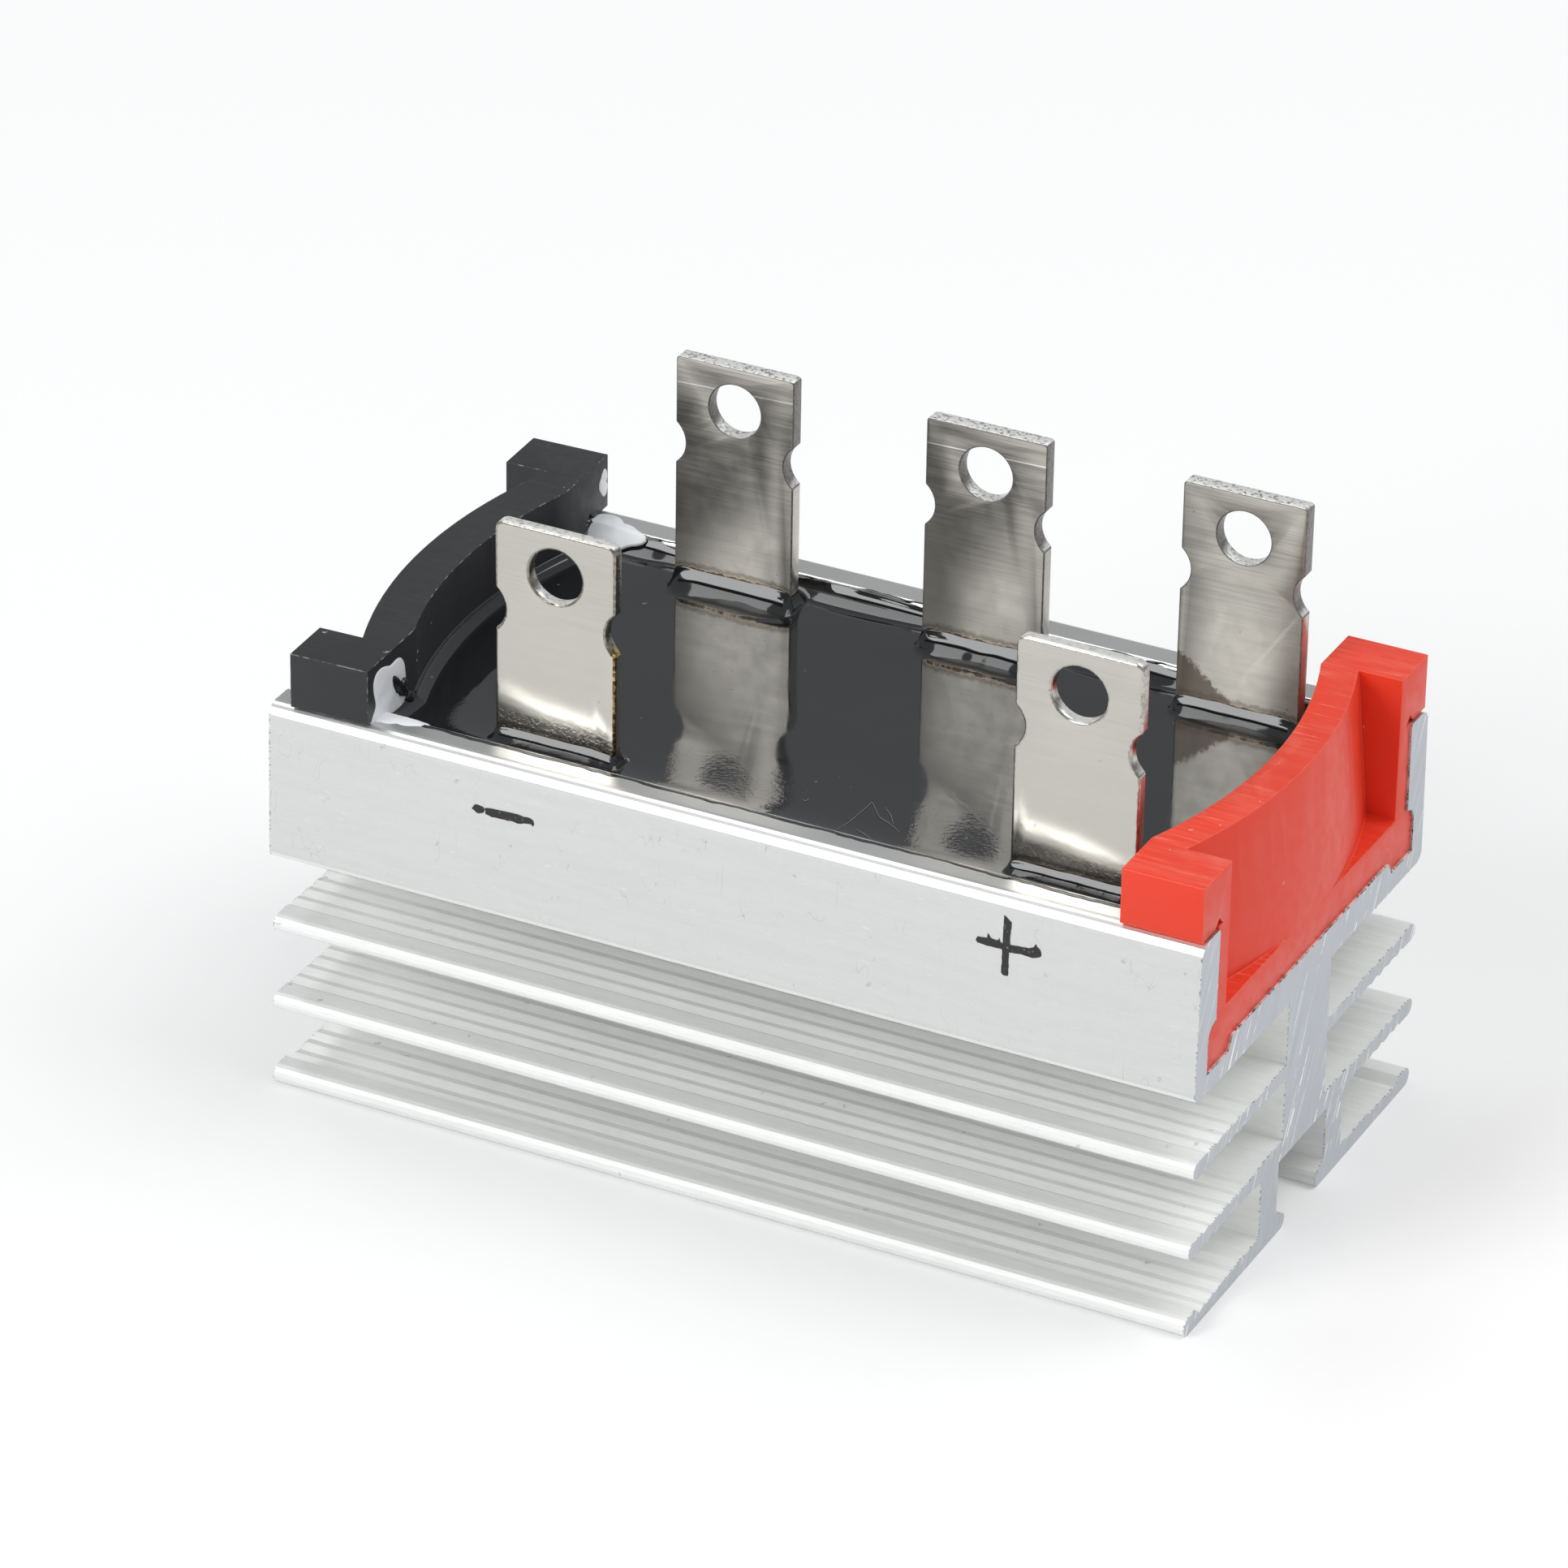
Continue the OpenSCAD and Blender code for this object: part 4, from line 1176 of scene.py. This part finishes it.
@dataclass
class Sealant:
    """White sealant smeared in the corners of the negative cap, and resin smeared over it."""

    cap: EndCap
    rim_z: float = 29.95
    slope_y: float = 15.9
    on_ear: tuple[Blob, ...] = (
        Blob((-15.35, 30.9), (
            (-13.4, 33.2), (-12.94, 32.7), (-12.74, 32.26), (-12.64, 31.32), (-12.52, 30.4), (-12.55, 29.86),
            (-12.8, 29.4), (-13.37, 28.9), (-14.0, 28.7), (-16.2, 29.15), (-18.1, 30.0), (-17.5, 30.5),
            (-17.1, 30.85), (-17.15, 31.35), (-17.24, 31.74), (-17.45, 32.32), (-17.51, 32.7),
            (-17.47, 33.16), (-17.34, 33.38), (-16.82, 33.67), (-15.81, 33.54), (-14.9, 33.1),
            (-14.35, 33.26)), 0.17),
    )
    resin_on_ear: tuple[Blob, ...] = (
        Blob((-13.75, 31.0), (
            (-14.82, 32.7), (-14.44, 32.24), (-14.1, 31.72), (-13.8, 31.2), (-13.3, 30.8), (-12.6, 30.6),
            (-12.48, 30.2), (-12.67, 29.7), (-13.35, 30.05), (-14.06, 30.6), (-14.61, 31.2),
            (-14.98, 31.9)), 0.42),
        Blob((-12.3, 29.4), ((-12.5, 30.0), (-12.1, 29.9), (-11.9, 29.3), (-12.2, 28.8), (-12.6, 29.0)), 0.3),
    )
    on_rim: tuple[Blob, ...] = (
        Blob((-27.0, 15.9), ((-28.9, 17.3), (-28.6, 15.2), (-28.1, 14.3), (-26.6, 14.5), (-25.0, 15.2),
                             (-23.4, 15.6), (-24.8, 16.2), (-26.4, 16.9), (-28.3, 17.7)), 0.18),
        Blob((-26.4, -16.3), ((-27.9, -17.5), (-27.7, -15.6), (-26.3, -15.5), (-24.2, -15.9),
                              (-22.8, -16.15), (-24.4, -16.4), (-26.0, -16.9), (-27.0, -17.3)), 0.13),
    )
    back_streak: tuple[Blob, ...] = (
        Blob((17.85, 32.2), ((17.5, 32.8), (17.5, 31.6), (18.2, 31.0), (18.3, 32.2), (18.1, 33.4)), 0.08),
    )

    def lay(self, name: str, blobs: Sequence[Blob], onto: Callable,
            material: Material) -> bpy.types.Object:
        """Lays blobs on a surface as one piece.

        Args:
            name: The piece's name.
            blobs: The blobs.
            onto: Turns flat coordinates and heights into points.
            material: The finish.

        Returns:
            The piece.
        """
        points, faces = [], []
        for number, blob in enumerate(blobs):
            cloud = onto(*blob.shape())
            index = np.arange(len(cloud)) + number * len(cloud)
            dome = (grid_faces(RINGS, SECTORS, closed=True) + index[0]).tolist()
            dome += [index[:SECTORS][::-1].tolist(), index[-SECTORS:].tolist()]
            k = RINGS // 2 * SECTORS
            normal = np.cross(cloud[k + 1] - cloud[k], cloud[k + SECTORS] - cloud[k])
            if np.dot(normal, cloud[:SECTORS].mean(0) - cloud[-SECTORS:].mean(0)) < 0.0:
                dome = [face[::-1] for face in dome]
            points.append(cloud)
            faces += dome
        return add_piece(name, np.concatenate(points), faces, material)

    def build(self) -> None:
        """Lays the smears on the ears and on the rims of the walls."""
        white = Plain("white_sealant", (0.9, 0.92, 0.95), rough=0.28, grain=0.06).make()
        black = CastResin("smeared_resin").make()

        def ear(flat: Array, rise: Array) -> Array:
            """Stands a blob on the cap's inner face."""
            return np.column_stack([self.cap.inner_x(flat[:, 0]) + rise, flat])

        def rim(flat: Array, rise: Array) -> Array:
            """Lays a blob on the rim of a wall, from where it slopes down to the resin."""
            inside = np.maximum(self.slope_y - np.abs(flat[:, 1]), 0.0)
            return np.column_stack([flat, self.rim_z + rise - 0.75 * inside])

        for name, blobs, onto, slot, finish, stands_for in (
                ("sealant_smear_front", self.on_ear, ear, "sealant", white, "sealant_front"),
                ("sealant_smear_back", self.on_rim[:1], rim, "sealant", white, "sealant_back"),
                ("sealant_tail_front", self.on_rim[1:], rim, "sealant", white, None),
                ("sealant_streak_back", self.back_streak, ear, "sealant", white, None),
                ("resin_smear", self.resin_on_ear, ear, "potting", black, None)):
            piece = self.lay(name, blobs, onto, finish)
            if stands_for:
                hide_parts(stands_for)
        LOG.info("sealant laid")


@dataclass
class Inside:
    """The soldered stack under the resin."""

    def build(self) -> None:
        """Dresses the hidden pieces."""
        copper = Plain("rolled_copper", (0.62, 0.33, 0.2), rough=0.35, metallic=1.0).make()
        silicon = Plain("soldered_silicon", (0.2, 0.21, 0.24), rough=0.3, metallic=0.7).make()
        dress("insulator", Plain("fired_ceramic", (0.82, 0.81, 0.76), rough=0.7).make())
        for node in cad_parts:
            if node.startswith("bus_"):
                dress(node, copper)
            elif node.startswith("die_"):
                dress(node, silicon)


@dataclass(frozen=True)
class Softbox:
    """A flat lamp that hangs round the part and faces it.

    Attributes:
        name: The lamp's name.
        toward: Where it hangs, seen from the part.
        distance: How far off, in metres.
        size: Its width and height in metres.
        radiance: Its brightness, where 1 is a white surface.
    """

    name: str
    toward: tuple[float, float, float]
    distance: float
    size: Point2
    radiance: float

    def hang(self) -> None:
        """Adds the lamp to the scene."""
        data = bpy.data.lights.new(self.name, "AREA")
        data.shape = "RECTANGLE"
        data.size, data.size_y = self.size
        data.energy = self.radiance * math.pi * self.size[0] * self.size[1]
        lamp = add_object(self.name, data)
        away = Vector(self.toward).normalized()
        lamp.location = away * self.distance + Vector((0.0, 0.0, 0.025))
        lamp.rotation_euler = away.to_track_quat("Z", "Y").to_euler()


@dataclass
class Studio:
    """The floor, the lamps, a black flag and the camera."""

    azimuth: float = 26.489
    elevation: float = 28.865
    roll: float = 0.926
    offset: tuple[float, float, float] = (4.064, -20.939, 577.885)
    focal: float = 189.15
    sky: float = 0.42
    lamps: tuple[Softbox, ...] = (
        Softbox("key", (-0.39, -0.784, 0.483), 0.9, (0.41, 0.53), 6.0),
        Softbox("right_top", (0.45, 0.25, 0.86), 1.1, (0.8, 0.8), 2.5),
        Softbox("zenith_strip", (-0.39, 0.0, 0.92), 1.1, (0.8, 0.22), 2.9),
    )

    def axes(self) -> tuple[Vector, Vector, Vector]:
        """The camera's right, up and forward directions in the part's frame."""
        a, e, r = (math.radians(v) for v in (self.azimuth, self.elevation, self.roll))
        forward = Vector((-math.sin(a) * math.cos(e), math.cos(a) * math.cos(e), -math.sin(e)))
        right = Vector((math.cos(a), math.sin(a), 0.0))
        up = right.cross(forward)
        return (right * math.cos(r) + up * math.sin(r), up * math.cos(r) - right * math.sin(r), forward)

    def camera(self) -> None:
        """Stands the camera where the photograph was taken from."""
        right, up, forward = self.axes()
        data = bpy.data.cameras.new("camera")
        data.lens = self.focal
        data.sensor_width = 36.0
        data.sensor_fit = "HORIZONTAL"
        data.clip_start, data.clip_end = 0.05, 20.0
        camera = add_object("camera", data)
        stand = -(right * self.offset[0] + up * self.offset[1] + forward * self.offset[2]) * MM
        turn = Matrix((right, up, -forward)).transposed().to_4x4()
        camera.matrix_world = Matrix.Translation(stand) @ turn
        bpy.context.scene.camera = camera

    def sheet(self, middle: Vector, across: Vector, along: Vector, paint: Paint) -> None:
        """Adds a flat rectangle that belongs to the studio.

        Args:
            middle: Its middle.
            across: Half its width, as a vector.
            along: Half its length, as a vector.
            paint: Its finish, whose name it takes.
        """
        mesh = bpy.data.meshes.new(paint.material.name)
        corners = [middle + across * a + along * b for a, b in ((-1, -1), (1, -1), (1, 1), (-1, 1))]
        mesh.from_pydata(corners, [], [[0, 1, 2, 3]])
        mesh.materials.append(paint.material)
        add_object(paint.material.name, mesh)

    def floor(self) -> None:
        """Lays a plain white floor that still takes the part's shadow."""
        g = Paint("floor")
        rays = g.add("ShaderNodeLightPath").outputs
        seen = g.math("MAXIMUM", rays["Is Camera Ray"],
                      g.math("MAXIMUM", rays["Is Glossy Ray"], rays["Is Transmission Ray"]))
        g.finish(Base_Color=(0.8, 0.8, 0.8, 1.0), Roughness=0.9, Specular_IOR_Level=0.0,
                 Emission_Color=WHITE, Emission_Strength=g.times(seen, 0.2))
        self.sheet(Vector((0.0, 0.0, -2e-5)), Vector((3.0, 0.0, 0.0)), Vector((0.0, 3.0, 0.0)), g)

    def flag(self) -> None:
        """Hangs a black flag overhead, which keeps the steep sides of the resin dark."""
        g = Paint("flag")
        g.finish(Base_Color=(0.01, 0.01, 0.01, 1.0), Roughness=1.0, Specular_IOR_Level=0.0)
        away = Vector((-0.4, -0.36, 0.84)).normalized()
        across = Vector((1.0, 0.0, 0.0)).cross(away).cross(away).normalized()
        self.sheet(away * 0.8, across * 0.26, away.cross(across) * 0.13, g)

    def build(self) -> None:
        """Sets the world, the lamps, the floor, the flag and the camera."""
        world = bpy.data.worlds.new("studio")
        world.use_nodes = True
        background = world.node_tree.nodes["Background"].inputs
        background[0].default_value = (0.96, 0.985, 1.0, 1.0)
        background[1].default_value = self.sky
        bpy.context.scene.world = world
        for lamp in self.lamps:
            lamp.hang()
        self.floor()
        self.flag()
        self.camera()
        bpy.context.scene.view_settings.view_transform = "Standard"
        LOG.info("studio set")


def main() -> None:
    """Builds each sub-assembly in order, then the studio."""
    logging.basicConfig(level=logging.INFO, format="%(name)s: %(message)s")
    red = Moulded("red_plastic", (0.87, 0.058, 0.025), (1.0, 0.34, 0.25), 0.36, 0.42, glow=0.3)
    # The red edge colour is lighter than the red: a painted highlight on the broken edges.
    red_edge = Moulded("red_edge", (0.92, 0.10, 0.05), (1.0, 0.5, 0.4), 0.42, 0.6, glow=0.3)
    black = Moulded("black_plastic", (0.028, 0.029, 0.032), (0.055, 0.056, 0.06), 0.44, 0.3)
    plus_cap = EndCap("end_cap_plus", 34.85, 2.6, 0.0, 0.26, red, red_edge)
    minus_cap = EndCap("end_cap_minus", -34.0, 3.3, 1.8, 0.08, black, Scuffed())
    HeatSink().build()
    plus_cap.build()
    minus_cap.build()
    potting = Potting(minus_cap, plus_cap)
    potting.build()
    potting.litter()
    Terminals(potting).build()
    Sealant(minus_cap).build()
    Inside().build()
    Studio().build()


if __name__ == "__main__":
    main()
